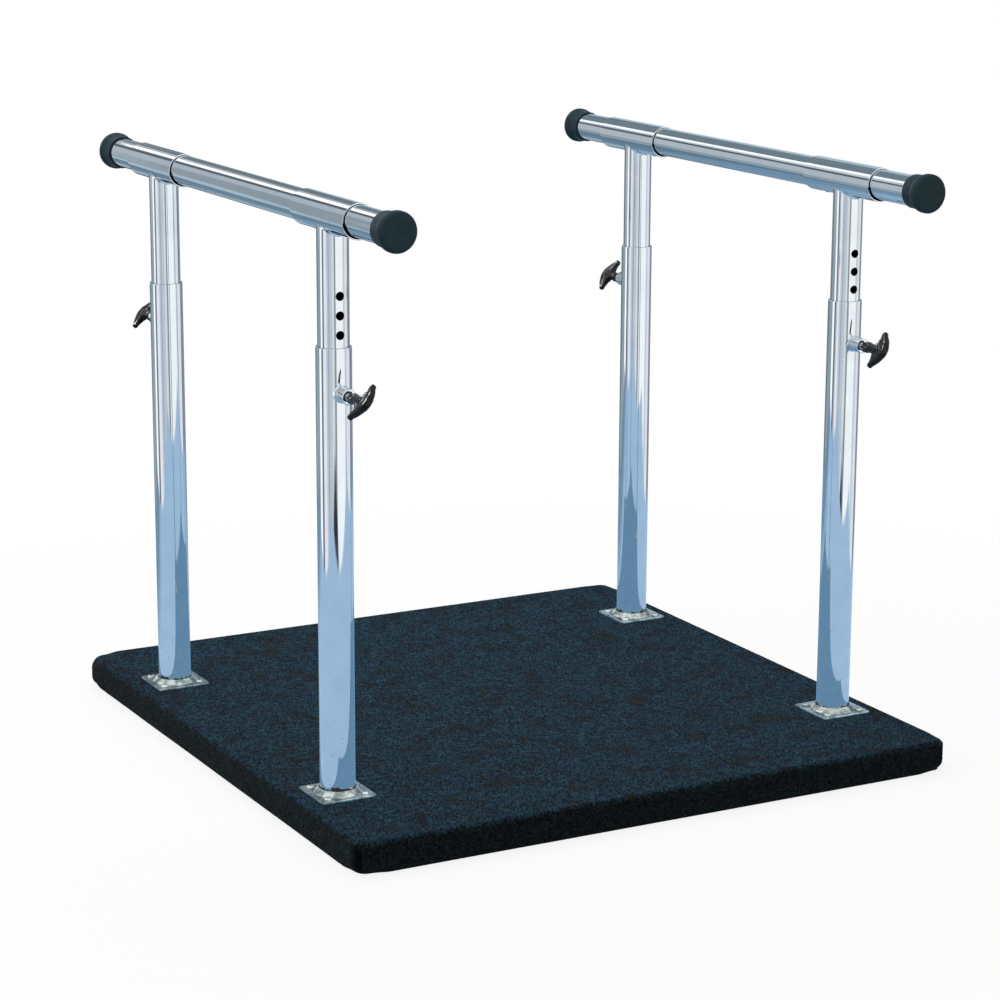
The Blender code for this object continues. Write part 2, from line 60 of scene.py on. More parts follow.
def add(tree, kind, inputs=None, stops=(), **settings):
    """Adds a node with its settings, its input values or links, and a colour ramp's stops, whose colours can
    be sRGB hex."""
    node = tree.nodes.new(kind)
    for name, value in settings.items():
        setattr(node, name, value)
    for socket, value in (inputs or {}).items():
        if isinstance(value, bpy.types.Node):
            value = value.outputs[0]
        if isinstance(value, bpy.types.NodeSocket):
            tree.links.new(value, node.inputs[socket])
        else:
            node.inputs[socket].default_value = value
    for i, (position, colour) in enumerate(stops):
        elements = node.color_ramp.elements
        stop = elements[i] if i < 2 else elements.new(position)
        stop.position = position
        stop.color = linear(colour) if isinstance(colour, str) else colour
    return node


# Making shapes.


def clamped(value):
    """A value held between 0 and 1."""
    return min(1.0, max(0.0, value))


def in_mm(*rows):
    """Rows of lengths given in millimetres, as metres."""
    return [[length * MM for length in row] for row in rows]


def eased(corners, steps=4):
    """An outline through (x, y, radius) corners, each rounded to its radius."""
    points = []
    for i, (x, y, radius) in enumerate(corners):
        here = Vector((x, y))
        if not radius:
            points.append(here)
            continue
        back = (Vector(corners[i - 1][:2]) - here).normalized()
        on = (Vector(corners[(i + 1) % len(corners)][:2]) - here).normalized()
        half = back.angle(on) / 2
        centre = here + (back + on).normalized() * radius / math.sin(half)
        start = here + back * radius / math.tan(half) - centre
        end = here + on * radius / math.tan(half) - centre
        sweep = math.pi - 2 * half
        for k in range(steps + 1):
            t = k / steps
            arm = start * math.sin((1 - t) * sweep) + end * math.sin(t * sweep)
            points.append(centre + arm / math.sin(sweep))
    return points


def edge_round(radius, top, steps):
    """An edge's rounding as (inset, height) points, from its flat top round to its side."""
    quarter = [math.pi / 2 * k / steps for k in range(steps + 1)]
    return [(radius - radius * math.sin(a), top - radius + radius * math.cos(a)) for a in quarter]


def turned(outline, sides, closed=True):
    """Vertices and faces of (radius, height) points turned about Z. An open outline starts and ends on
    the axis; a closed one is the section of a ring."""
    vertices, rows = [], []
    for radius, height in outline:
        if radius < 1e-7:
            rows.append([len(vertices)] * sides)
            vertices.append((0.0, 0.0, height))
            continue
        rows.append(range(len(vertices), len(vertices) + sides))
        for i in range(sides):
            angle = 2 * math.pi * i / sides
            vertices.append((radius * math.cos(angle), radius * math.sin(angle), height))
    following = [*rows[1:], rows[0]] if closed else rows[1:]
    return vertices, skin(zip(rows, following), sides)


def skin(pairs, sides):
    """Faces between pairs of rows of vertices, each row a closed ring."""
    faces = []
    for low, high in pairs:
        for i in range(sides):
            j = (i + 1) % sides
            faces.append(list(dict.fromkeys([low[i], low[j], high[j], high[i]])))
    return faces


def stacked(rows):
    """Rows of points as one list of vertices, and the places of each row in it."""
    vertices, rings = [], []
    for row in rows:
        rings.append(range(len(vertices), len(vertices) + len(row)))
        vertices += row
    return vertices, rings


def together(*shapes):
    """Several shapes of vertices and faces as one."""
    vertices, faces = [], []
    for points, sides in shapes:
        faces += [[len(vertices) + i for i in side] for side in sides]
        vertices += list(points)
    return vertices, faces


def smoothed(mesh, crease=30):
    """Shades a mesh smooth, with its edges over crease degrees kept sharp."""
    mesh.shade_smooth()
    mesh.set_sharp_from_angle(angle=math.radians(crease))


def in_scene(name, data):
    """A new object of the data, in the scene."""
    obj = bpy.data.objects.new(name, data)
    bpy.context.scene.collection.objects.link(obj)
    return obj


def made(name, shape, place=Matrix(), crease=30):
    """An object of a shape, with its faces turned outwards, its edges over crease degrees kept sharp, and its
    points moved to its place."""
    mesh = bpy.data.meshes.new(name)
    mesh.from_pydata([tuple(p) for p in shape[0]], [], shape[1])
    body = bmesh.new()
    body.from_mesh(mesh)
    bmesh.ops.remove_doubles(body, verts=body.verts, dist=1e-7)
    bmesh.ops.recalc_face_normals(body, faces=body.faces)
    body.to_mesh(mesh)
    body.free()
    smoothed(mesh, crease)
    mesh.transform(place)
    return in_scene(name, mesh)


def settle(obj):
    """Replaces an object's mesh by what its modifiers make of it, and removes them."""
    evaluated = obj.evaluated_get(bpy.context.evaluated_depsgraph_get())
    mesh = bpy.data.meshes.new_from_object(evaluated)
    obj.modifiers.clear()
    obj.data = mesh
    return obj


def grow(obj, tree, **values):
    """Runs a Geometry Nodes tree on the object with the named inputs, and leaves a plain mesh."""
    modifier = obj.modifiers.new(tree.name, "NODES")
    modifier.node_group = tree
    for item in tree.interface.items_tree:
        if item.item_type == "SOCKET" and item.in_out == "INPUT" and item.name in values:
            modifier[item.identifier] = values[item.name]
    return settle(obj)


def hand_in(obj, body, slot, *nodes, finish=None):
    """A finished piece: its material, its body and the CAD nodes that it stands for, which it hides. Its slot
    is not used.
    """
    if finish:
        obj.data.materials.clear()
        obj.data.materials.append(finish)
    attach(obj, body)
    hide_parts(*nodes)


def node_tree(name, **sockets):
    """An empty Geometry Nodes tree with a geometry input and output and the given inputs."""
    tree = bpy.data.node_groups.new(name, "GeometryNodeTree")
    tree.is_modifier = True
    tree.interface.new_socket("Geometry", in_out="INPUT", socket_type="NodeSocketGeometry")
    for socket, kind in sockets.items():
        tree.interface.new_socket(socket.replace("_", " "), in_out="INPUT", socket_type="NodeSocket" + kind)
    tree.interface.new_socket("Geometry", in_out="OUTPUT", socket_type="NodeSocketGeometry")
    return tree, add(tree, "NodeGroupInput").outputs


def close_tree(tree, geometry, finish):
    """Ends a tree with real geometry that carries its material."""
    real = add(tree, "GeometryNodeRealizeInstances", {"Geometry": geometry})
    finished = add(tree, "GeometryNodeSetMaterial", {"Geometry": real, "Material": finish})
    add(tree, "NodeGroupOutput", {"Geometry": finished})


# The finishes.


def emptied(owner):
    """The node tree of a material or a world, with nothing in it."""
    owner.use_nodes = True
    owner.node_tree.nodes.clear()
    return owner.node_tree


def new_finish(name, **constants):
    """A material with one Principled shader, whose constant sockets are set on the shader itself."""
    material = bpy.data.materials.new(name)
    tree = emptied(material)
    sockets = {socket.replace("_", " "): value for socket, value in constants.items()}
    shader = add(tree, "ShaderNodeBsdfPrincipled", sockets)
    add(tree, "ShaderNodeOutputMaterial", {"Surface": shader})
    return material, tree, shader


def wire(tree, shader, **sources):
    """Links sockets of a shader to what drives them."""
    for socket, source in sources.items():
        source = source.outputs[0] if isinstance(source, bpy.types.Node) else source
        tree.links.new(source, shader.inputs[socket.replace("_", " ")])


def span(value, low, high, to_low=0.0, to_high=1.0):
    """The inputs of a Map Range node: its value, the range that it takes in and the one that it gives."""
    return {"Value": value, "From Min": low, "From Max": high, "To Min": to_low, "To Max": to_high}


def on_object(tree, scale, rotation=(0, 0, 0), way="POINT"):
    """The object's own coordinates, scaled for each axis. As a texture's frame, it is turned before it is
    scaled, and the scale is the size of a pattern's cell."""
    place = add(tree, "ShaderNodeTexCoord").outputs["Object"]
    frame_of = {"Vector": place, "Scale": scale, "Rotation": rotation}
    return add(tree, "ShaderNodeMapping", frame_of, vector_type=way)


def mottle(tree, size, detail):
    """Soft noise on the object's own coordinates, with spots of about the given size."""
    place = on_object(tree, [1 / size] * 3)
    return add(tree, "ShaderNodeTexNoise", {"Vector": place, "Scale": 1.0, "Detail": detail})


def chromed_tube(name, along, pitted):
    """Bright chrome over drawn steel tube, polished along its length before plating: a clean mirror with a
    faint cold tint, whose reflections waver a little, lengthwise."""
    material, tree, shader = new_finish(name, Metallic=1.0)
    wave_scale = [1 / (11 * MM)] * 3
    wave_scale[along] = 1 / (240 * MM)
    lengthwise = on_object(tree, wave_scale)
    waves = add(tree, "ShaderNodeTexNoise", {"Vector": lengthwise, "Scale": 1.0, "Detail": 1.5})
    bump = add(tree, "ShaderNodeBump", {"Height": waves, "Distance": 0.03 * MM, "Strength": 1.0})
    haze = mottle(tree, 35 * MM, 3.0)
    colour = add(tree, "ShaderNodeValToRGB", {"Fac": haze}, stops=((0.3, "D6DBDD"), (0.72, "CDD3D8")))
    rough = add(tree, "ShaderNodeMapRange", span(haze, 0.3, 0.7, 0.03, 0.065))
    if pitted:
        colour, rough = pits_and_collar_shade(tree, colour, rough)
    wire(tree, shader, Base_Color=colour, Roughness=rough, Normal=bump)
    return material


def pits_and_collar_shade(tree, colour, rough):
    """Small dull pits low on a post, and painted shade in a ragged dark brown band where it meets the collar.
    """
    cells = add(tree, "ShaderNodeTexVoronoi", {"Vector": on_object(tree, [1 / (7.5 * MM)] * 3), "Scale": 1.0})
    spots = add(tree, "ShaderNodeMapRange", span(cells.outputs["Distance"], 0.07, 0.12, 1.0, 0.0))
    place = add(tree, "ShaderNodeTexCoord").outputs["Object"]
    height = add(tree, "ShaderNodeSeparateXYZ", {"Vector": place}).outputs["Z"]
    low = add(tree, "ShaderNodeMapRange", span(height, 90 * MM, 260 * MM, 1.0, 0.0))
    pits = add(tree, "ShaderNodeMath", {0: spots, 1: low}, operation="MULTIPLY")
    # Painted shade: a ragged dark brown band round the post from the collar up to 53 to 60.5 mm above the
    # floor.
    ragged = mottle(tree, 9 * MM, 2.0)
    edge = add(tree, "ShaderNodeMapRange", span(ragged, 0.35, 0.65, 53 * MM, 60.5 * MM))
    under = add(tree, "ShaderNodeMath", {0: edge, 1: height}, operation="SUBTRACT")
    foot = add(tree, "ShaderNodeMapRange", span(under, -0.8 * MM, 1.2 * MM))
    dulled = add(tree, "ShaderNodeMapRange", span(pits, 0.0, 1.0, rough, 0.45))
    for share, dark_tone in ((pits, linear("3E474D")), (foot, linear("5E4C40"))):
        mix = add(tree, "ShaderNodeMix", {FACTOR: share, FIRST: colour, SECOND: dark_tone}, data_type="RGBA")
        colour = mix.outputs[BLENDED]
    return colour, dulled


def patchy_metal(name, light, dark, roughness):
    """Metal as it comes from the press, the lathe or the plating bath, not polished: cloudier and rougher
    than chrome, in soft patches of about a centimetre. Zinc plate is pale grey with duller patches; black
    oxide and bare drawn steel are dark."""
    material, tree, shader = new_finish(name, Metallic=1.0)
    patches = mottle(tree, 11 * MM, 2.0)
    tint = add(tree, "ShaderNodeValToRGB", {"Fac": patches}, stops=((0.36, dark), (0.62, light)))
    rough = add(tree, "ShaderNodeMapRange", span(patches, 0.35, 0.65, roughness + 0.10, roughness))
    swell = add(tree, "ShaderNodeBump", {"Height": patches, "Distance": 0.4 * MM, "Strength": 0.5})
    wire(tree, shader, Base_Color=tint, Roughness=rough, Normal=swell)
    return material


def heather_carpet():
    """Needle-punched polypropylene carpet in a heather of near-black, navy and teal fibres: matt and napped,
    with crisp flecks, clumps of like fibres and soft smudges of colour. Its sides are painted greyer than its
    top, painted light for the bluish light that falls on the top, and painted shade darkens it almost to
    black in the corner folds. The real fibres are 0.1 mm, too fine to show, so the flecks are drawn at 2.8
    mm, and longer along the way that the nap leans."""
    fibre = {"Roughness": 0.95, "Sheen_Weight": 0.05, "Sheen_Roughness": 0.6, "Specular_IOR_Level": 0.1}
    material, tree, shader = new_finish("carpet_polypropylene_heather", IOR=1.49, **fibre)
    nap_lean = (0, 0, math.radians(-28))
    layers = []
    for across, along, detail in ((2.8 * MM, 7 * MM, 2.0), (11 * MM, 13 * MM, 2.0), (38 * MM, 46 * MM, 3.0)):
        place = on_object(tree, (across, along, across), nap_lean, "TEXTURE")
        noise_of = {"Vector": place, "Scale": 1.0, "Detail": detail, "Roughness": 0.6}
        layers.append(add(tree, "ShaderNodeTexNoise", noise_of))
    flecks, clumps, smudges = layers
    heather = ((0.31, "20271F"), (0.38, "1B2A37"), (0.46, "1C3346"), (0.55, "193D4B"), (0.68, "213350"))
    hue = add(tree, "ShaderNodeValToRGB", {"Fac": smudges}, stops=heather)
    # Painted light: the colour turns greyer down the sides, which get less of the bluish light from above
    # than the top.
    side = add(tree, "ShaderNodeAttribute", attribute_name="side").outputs["Fac"]
    side_painted_light = {FACTOR: side, FIRST: hue, SECOND: linear("1F2A2E")}
    hue_with_side_light = add(tree, "ShaderNodeMix", side_painted_light, data_type="RGBA").outputs[BLENDED]
    # Painted shade: in the corner folds the colour darkens almost to black, as the groove lies in shade.
    fold_share = add(tree, "ShaderNodeAttribute", attribute_name="fold").outputs["Fac"]
    fleck_depth = add(tree, "ShaderNodeMapRange", span(flecks, 0.39, 0.61, 0.0, 2.05))
    clump_depth = add(tree, "ShaderNodeMapRange", span(clumps, 0.36, 0.64, 0.62, 1.42))
    fold_painted_shade = add(tree, "ShaderNodeMapRange", span(fold_share, 0.0, 1.0, 1.0, 0.02))
    mottled = add(tree, "ShaderNodeMath", {0: fleck_depth, 1: clump_depth}, operation="MULTIPLY")
    depth = add(tree, "ShaderNodeMath", {0: mottled, 1: fold_painted_shade}, operation="MULTIPLY")
    darkened = {FACTOR: 1.0, FIRST: hue_with_side_light, SECOND: depth}
    shade = add(tree, "ShaderNodeMix", darkened, data_type="RGBA", blend_type="MULTIPLY")
    nap = add(tree, "ShaderNodeBump", {"Height": flecks, "Distance": 1 * MM, "Strength": 0.6})
    wire(tree, shader, Base_Color=shade.outputs[BLENDED], Normal=nap)
    return material


def dark_moulding(name, tones, roughness, grain, **constants):
    """A dark moulding that greys a little where it is handled, under a skin whose gloss and grain follow the
    mould: a hard gloss on near-black phenolic plastic, a soft dull sheen on blue-grey rubber."""
    material, tree, shader = new_finish(name, **constants)
    wear = mottle(tree, 9 * MM, 3.0)
    tint = add(tree, "ShaderNodeValToRGB", {"Fac": wear}, stops=((0.35, tones[0]), (0.68, tones[1])))
    rough = add(tree, "ShaderNodeMapRange", span(wear, 0.3, 0.7, roughness, roughness + 0.08))
    skin_grain = mottle(tree, grain, 2.0)
    bump = add(tree, "ShaderNodeBump", {"Height": skin_grain, "Distance": 0.01 * MM, "Strength": 0.5})
    wire(tree, shader, Base_Color=tint, Roughness=rough, Normal=bump)
    return material


def birch_plywood():
    """Rotary-cut birch plywood, sanded: pale honey wood with long soft grain along Y, in layers of about 3 mm
    that show on its edges."""
    material, tree, shader = new_finish("birch_plywood_sanded", Roughness=0.6, IOR=1.5)
    place = on_object(tree, (1 / (9 * MM), 1 / (160 * MM), 1 / (3 * MM)))
    grain = add(tree, "ShaderNodeTexNoise", {"Vector": place, "Scale": 1.0, "Detail": 5.0})
    tint = add(tree, "ShaderNodeValToRGB", {"Fac": grain}, stops=((0.35, "A9814F"), (0.6, "CFAA78")))
    bump = add(tree, "ShaderNodeBump", {"Height": grain, "Distance": 0.2 * MM, "Strength": 0.5})
    wire(tree, shader, Base_Color=tint, Normal=bump)
    return material


CHROME_UPRIGHT = chromed_tube("chromed_steel_upright", 2, pitted=True)
CHROME_RAIL = chromed_tube("chromed_steel_rail", 1, pitted=False)
ZINC_FLANGE = patchy_metal("zinc_plated_pressed_steel", "C9CFCC", "808B88", 0.20)
ZINC_SCREW = patchy_metal("zinc_plated_screw_steel", "E2E4E1", "B4BAB8", 0.16)
BLACK_SCREW = patchy_metal("black_oxide_screw_steel", "3A3D40", "24272A", 0.35)
BARE_BORE = patchy_metal("bare_drawn_steel_bore", "4A4D50", "2C2E30", 0.5)
CARPET = heather_carpet()
KNOB_PLASTIC = dark_moulding(
    "phenolic_moulding_gloss", ("030405", "08090B"), 0.13, 1.2 * MM, IOR=1.55, Specular_IOR_Level=0.2
)
TIP_RUBBER = dark_moulding(
    "rubber_moulding_matt", ("2A3F46", "334A52"), 0.42, 0.8 * MM, IOR=1.52, Specular_IOR_Level=0.1
)
PLYWOOD = birch_plywood()


# Posts, handrails, sleeves and tips.

OUTER_R, OUTER_BORE = 23.8 * MM, 21.4 * MM
INNER_R, INNER_BORE = 21.1 * MM, 19.45 * MM
SLEEVE_R, SLEEVE_BORE = 23.8 * MM, 22.15 * MM
ROUND_SIDES = 128


def punched_tree():
    """Round holes in a row up the -Y wall of an upright tube."""
    tree, given = node_tree(
        "punched_wall",
        Hole_Diameter="Float",
        First_Hole="Vector",
        Hole_Step="Vector",
        Holes="Int",
        Reach="Float",
        Finish="Material",
    )
    row_of = {"Count": given["Holes"], "Start Location": given["First Hole"], "Offset": given["Hole Step"]}
    row = add(tree, "GeometryNodeMeshLine", row_of)
    radius = add(tree, "ShaderNodeMath", {0: given["Hole Diameter"], 1: 0.5}, operation="MULTIPLY")
    round_punch = {"Vertices": 40, "Radius": radius, "Depth": given["Reach"]}
    punch = add(tree, "GeometryNodeMeshCylinder", round_punch)
    half = add(tree, "ShaderNodeMath", {0: given["Reach"], 1: -0.5}, operation="MULTIPLY")
    away = add(tree, "ShaderNodeCombineXYZ", {"Y": half})
    lain_down = {"Geometry": punch, "Translation": away, "Rotation": (math.pi / 2, 0, 0)}
    lying = add(tree, "GeometryNodeTransform", lain_down)
    punches = add(tree, "GeometryNodeInstanceOnPoints", {"Points": row, "Instance": lying})
    real = add(tree, "GeometryNodeRealizeInstances", {"Geometry": punches})
    walls = {"Mesh 1": given["Geometry"], "Mesh 2": real}
    cut = add(tree, "GeometryNodeMeshBoolean", walls, operation="DIFFERENCE", solver="EXACT")
    close_tree(tree, cut, given["Finish"])
    return tree


PUNCHED = punched_tree()


def true_round(mesh):
    """Gives a tube's walls the normals of a true round, so that chrome mirrors cleanly beside the holes."""
    normals = [Vector(corner.vector) for corner in mesh.corner_normals]
    for face in mesh.polygons:
        spoke = face.center.xy.normalized()
        facing = face.normal.xy.dot(spoke)
        if abs(facing) < 0.99:
            continue
        for corner in face.loop_indices:
            point = mesh.vertices[mesh.loops[corner].vertex_index].co
            way = Vector((point.x, point.y, 0)).normalized()
            normals[corner] = way if facing > 0 else -way
    mesh.normals_split_custom_set(normals)


def tube(name, outer, bore, low, high, place, finish, lip=0.5 * MM, holes=None, shape_end=None):
    """A tube made upright, with its holes in its -Y wall, then put in place. Plating doesn't reach far into a
    tube, so its bore stays bare."""
    wall = [(outer, high - depth * MM, 0) for depth in WELD_ROWS] if shape_end else []
    foot, head = [(bore, low, lip), (outer, low, lip)], [(outer, high, lip), (bore, high, lip)]
    section = eased([*foot, *wall, *head], 3)
    obj = made(name, turned(section, ROUND_SIDES))
    if shape_end:
        for vertex in obj.data.vertices:
            vertex.co = shape_end(vertex.co)
    if holes:
        grow(obj, PUNCHED, Reach=outer * 1.4, Finish=finish, **holes)
        smoothed(obj.data)
    obj.data.materials.clear()
    for material in (finish, BARE_BORE):
        obj.data.materials.append(material)
    for face in obj.data.polygons:
        facing = face.normal.xy.dot(face.center.xy.normalized())
        face.material_index = 1 if facing < -0.2 else 0
    true_round(obj.data)
    obj.data.transform(place)
    return obj


def middle(node):
    """The middle of a CAD node's box."""
    low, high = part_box(node)
    return (low + high) / 2


def outwards(corner):
    """-1 at a front corner and 1 at a rear one: the side of the post that its knob is on."""
    return -1 if corner.endswith("front") else 1


def rail_of(corner):
    """The body that a corner's inner post, sleeve and tip ride on."""
    return corner.split("_")[0] + "_rail"


def post_place(corner):
    """Turns an upright so that its -Y wall faces away from the platform's middle, and stands it in place."""
    post = middle(corner + "_outer_post")
    turn = Matrix.Rotation(0 if outwards(corner) < 0 else math.pi, 4, "Z")
    return Matrix.Translation((post.x, post.y, 0)) @ turn


PIN_HOLE, POST_HOLE = 11.4 * MM, 12 * MM
HOLE_STEP, HOLES = 25.4 * MM, 11
# Heights above the floor: the pins, an inner post's lowest hole, the sleeves' axis, and where an inner post
# ends before it is coped. Only the top of a post, within the cope's reach, is moved.
PIN_Z, FIRST_HOLE, SADDLE_Z, POST_END = 592.15 * MM, 465.15 * MM, 822.4 * MM, 800 * MM
COPE_REACH = 50 * MM
# An inner post's weld: how far it swells and reaches down, and how far below the post's end its rows of
# points are, in millimetres.
WELD_SWELL, WELD_REACH = 0.8 * MM, 3.5 * MM
WELD_ROWS = (9.0, 5.0, 4.2, 3.4, 2.6, 1.8, 1.2)


def holes(diameter, first, count):
    """The inputs of the tree that punches a wall."""
    step = (0, 0, HOLE_STEP)
    return {"Hole Diameter": diameter, "First Hole": (0, 0, first), "Hole Step": step, "Holes": count}


def saddle(point):
    """Copes the top of an inner post to the round of the sleeve above it, and swells it into its weld."""
    depth = POST_END - point.z
    if depth > COPE_REACH:
        return point
    radius = point.xy.length
    if radius > INNER_R - 0.6 * MM:
        ripple = 1 + 0.08 * math.sin(9 * math.atan2(point.y, point.x))
        swell = WELD_SWELL * ripple * max(0.0, 1 - depth / WELD_REACH) ** 1.5
        point.x *= 1 + swell / radius
        point.y *= 1 + swell / radius
    point.z = SADDLE_Z - math.sqrt((SLEEVE_R + 0.1 * MM) ** 2 - point.x**2) - depth
    return point


def make_posts():
    for corner in CORNERS:
        place = post_place(corner)
        low, high = (limit.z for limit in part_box(corner + "_outer_post"))
        name, one = corner + "_chromed_outer_post", holes(PIN_HOLE, PIN_Z, 1)
        outer = tube(name, OUTER_R, OUTER_BORE, low, high, place, CHROME_UPRIGHT, lip=0.7 * MM, holes=one)
        hand_in(outer, "platform", "chrome_tube", corner + "_outer_post")
        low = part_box(corner + "_inner_post")[0].z
        name, row = corner + "_chromed_inner_post", holes(POST_HOLE, FIRST_HOLE, HOLES)
        ends = {"lip": 0.3 * MM, "shape_end": saddle}
        inner = tube(name, INNER_R, INNER_BORE, low, POST_END, place, CHROME_UPRIGHT, holes=row, **ends)
        hand_in(inner, rail_of(corner), "chrome_tube", corner + "_inner_post")


ALONG_Y = Matrix.Rotation(math.radians(90), 4, "X")


def make_rails():
    for side in ("left", "right"):
        at = middle(side + "_handrail")
        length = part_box(side + "_handrail")[1].y - at.y
        place = Matrix.Translation(at) @ ALONG_Y
        rail = tube(side + "_chromed_handrail", INNER_R, INNER_BORE, -length, length, place, CHROME_RAIL)
        hand_in(rail, side + "_rail", "chrome_tube", side + "_handrail")
    for corner in CORNERS:
        at = middle(corner + "_sleeve")
        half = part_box(corner + "_sleeve")[1].y - at.y
        place = Matrix.Translation(at) @ ALONG_Y
        name = corner + "_chromed_sleeve"
        sleeve = tube(name, SLEEVE_R, SLEEVE_BORE, -half, half, place, CHROME_RAIL, lip=0.25 * MM)
        hand_in(sleeve, rail_of(corner), "chrome_tube", corner + "_sleeve")


def tip_outline():
    """A tip's section as (radius, distance in from its end face): a full round head, tapering to a skirt."""
    head = in_mm((0.0, -0.15, 0), (17, 0.0, 60), (26.7, 0.2, 3.8), (26.7, 9.2, 5), (23.6, 16.5, 6))
    skirt = in_mm((23.4, 34, 0.5), (21.4, 34, 0.3), (21.4, 6.0, 0.4), (0.0, 6.0, 0))
    return eased([*head, *skirt], 6)


def make_tips():
    shape = turned(tip_outline(), 96, closed=False)
    tips = []
    for corner in CORNERS:
        way = outwards(corner)
        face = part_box(corner + "_rail_tip")[1 if way > 0 else 0].y
        at = middle(corner + "_rail_tip")
        place = Matrix.Translation((at.x, face, at.z)) @ Matrix.Rotation(way * math.pi / 2, 4, "X")
        tip = made(corner + "_rubber_tip", shape, place, crease=40)
        hand_in(tip, rail_of(corner), "tip_rubber", corner + "_rail_tip", finish=TIP_RUBBER)
        tips.append(tip)
    return tips


# Bosses, pins and knobs.

BOSS_R, BOSS_END, BOSS_BORE = 10.5 * MM, 47.5 * MM, 5.7 * MM
WING_TIP, FLUTE_DEPTH = 23.5 * MM, 2.2 * MM
# How coarsely a knob's hub and wing melt into one, and how often their seam is smoothed.
KNOB_VOXEL, KNOB_SMOOTHING = 0.42 * MM, 14
# How far each knob's wing tilts from upright, in degrees.
KNOB_TILT = {"left_front": 42, "left_rear": 46, "right_front": 31, "right_rear": 38}


def facing_out(corner, first):
    """A turn that takes Z to a corner's way out and X to the first axis given."""
    out = Vector((0, outwards(corner), 0))
    return Matrix((first, out.cross(first), out)).transposed().to_4x4()


def lock_place(corner):
    """The frame of a corner's lock: its Z points out along the pin from the post's axis, its X is upright."""
    post = middle(corner + "_outer_post")
    return Matrix.Translation((post.x, post.y, PIN_Z)) @ facing_out(corner, Vector((0, 0, 1)))


def boss_shape():
    """A boss with a weld fillet at its foot, coped to the post."""
    foot = OUTER_R
    fillet = [(BOSS_BORE, foot, 0), (BOSS_R + 1.6 * MM, foot, 0.3 * MM), (BOSS_R, foot + 1.9 * MM, 1.8 * MM)]
    end = [(BOSS_R, BOSS_END, 1.2 * MM), (BOSS_BORE, BOSS_END, 0.6 * MM)]
    vertices, faces = turned(eased([*fillet, *end], 5), 64)
    coped = []
    for x, y, z in vertices:
        near = max(0.0, 1 - (z - foot) / (4 * MM))
        drop = foot - math.sqrt(max(0.0, foot**2 - y**2))
        coped.append((x, y, z - drop * near))
    return coped, faces


def pin_shape():
    """The locking pin and the threaded stud behind it."""
    outline = eased(in_mm((0.0, 21.5, 0), (5.4, 21.5, 1.0), (5.4, 46.5, 0.6), (4.0, 47.4, 0.2)))
    pitch, crest, root = 1.25 * MM, 4.0 * MM, 3.45 * MM
    z = 47.7 * MM
    while z < 67 * MM:
        outline += [(crest, z), (crest, z + 0.2 * MM), (root, z + 0.6 * MM), (root, z + 0.8 * MM)]
        z += pitch
    outline += [(3.4 * MM, 69 * MM), (0.0, 69 * MM)]
    return turned(outline, 48, closed=False)


def arc(x, z, radius, start, sweep, steps):
    """Points round an arc, whose angles go from +Z towards +X."""
    angles = [start + sweep * k / steps for k in range(steps + 1)]
    return [Vector((x + radius * math.sin(a), z + radius * math.cos(a))) for a in angles]


def wing_outline():
    """The crescent of a knob's wing, in the plane of its X and Z."""
    tip_x, tip_z, tip_r, crown = WING_TIP, 83 * MM, 4.2 * MM, 100.5 * MM
    rise = crown - tip_z - tip_r
    arc_r = (tip_x**2 + rise**2) / (2 * rise)
    reach = math.asin(tip_x / arc_r)
    crest = arc(0.0, crown - arc_r, arc_r, -reach, 2 * reach, 24)
    tip = arc(tip_x, tip_z, tip_r, reach, math.pi - reach, 8)[1:]
    other_tip = arc(-tip_x, tip_z, tip_r, math.pi, math.pi - reach, 8)[:-1]
    inner = in_mm((16.5, 79.4), (10.5, 78.2), (6.4, 76.4))
    under = [Vector(p) for p in inner] + [Vector((-x, z)) for x, z in reversed(inner)]
    return [*crest, *tip, *under, *other_tip]


def drawn_in(outline, amount):
    """The outline moved inwards by an amount along its own normals."""
    moved = []
    for i, here in enumerate(outline):
        along = outline[(i + 1) % len(outline)] - outline[i - 1]
        inward = Vector((along.y, -along.x)).normalized()
        moved.append(here + inward * amount)
    return moved


def wing_shape():
    """The wing: full and round-edged, thinner towards its tips."""
    outline = wing_outline()
    half, ease = 5.6 * MM, 3.2 * MM
    face = edge_round(ease, half, 6)
    rows = []
    for inset, y in [*face, *((inset, -y) for inset, y in reversed(face))]:
        row = drawn_in(outline, inset)
        thin = [1 - 0.28 * clamped((abs(p.x) - 8 * MM) / (16 * MM)) for p in row]
        rows.append([(p.x, y * share, p.y) for p, share in zip(row, thin)])
    vertices, rings = stacked(rows)
    faces = skin(zip(rings, rings[1:]), len(outline))
    return vertices, [*faces, list(rings[0]), list(reversed(rings[-1]))]


def crowned(point):
    """Thins the wing towards its outer and inner edges, clear of the neck, so that its faces are crowned. Its
    inner edge is close to a straight line and its outer edge close to an arc."""
    x = min(abs(point.x), WING_TIP)
    inner = 75.2 * MM + 0.24 * x
    outer = 73.1 * MM + math.sqrt((27.4 * MM) ** 2 - x**2)
    if point.z < inner - 1 * MM:
        return
    across = (2 * point.z - inner - outer) / (outer - inner)
    clear = clamped((x - 5 * MM) / (6 * MM))
    point.y *= 1 - 0.22 * clear * min(1.0, across**2)


def hub_shape():
    """The hub, with six soft flutes and a blind bore for the stud, and the neck that carries the wing."""
    bore = in_mm((0.0, 69.5, 0), (4.3, 69.5, 0.3), (4.3, 52, 0.4))
    hub = in_mm((8.2, 52, 1.2), (8.2, 63.5, 1.2), (6.8, 65.5, 1.5), (6.8, 88, 1.0), (0.0, 89, 0))
    vertices, faces = turned(eased([*bore, *hub], 5), 96, closed=False)
    fluted = []
    for x, y, z in vertices:
        radius = math.hypot(x, y)
        if z < 65 * MM and radius > 6.4 * MM:
            cut = 1 + FLUTE_DEPTH * (math.cos(6 * math.atan2(y, x)) - 1) / 2 / radius
            x, y = x * cut, y * cut
        fluted.append((x, y, z))
    return fluted, faces


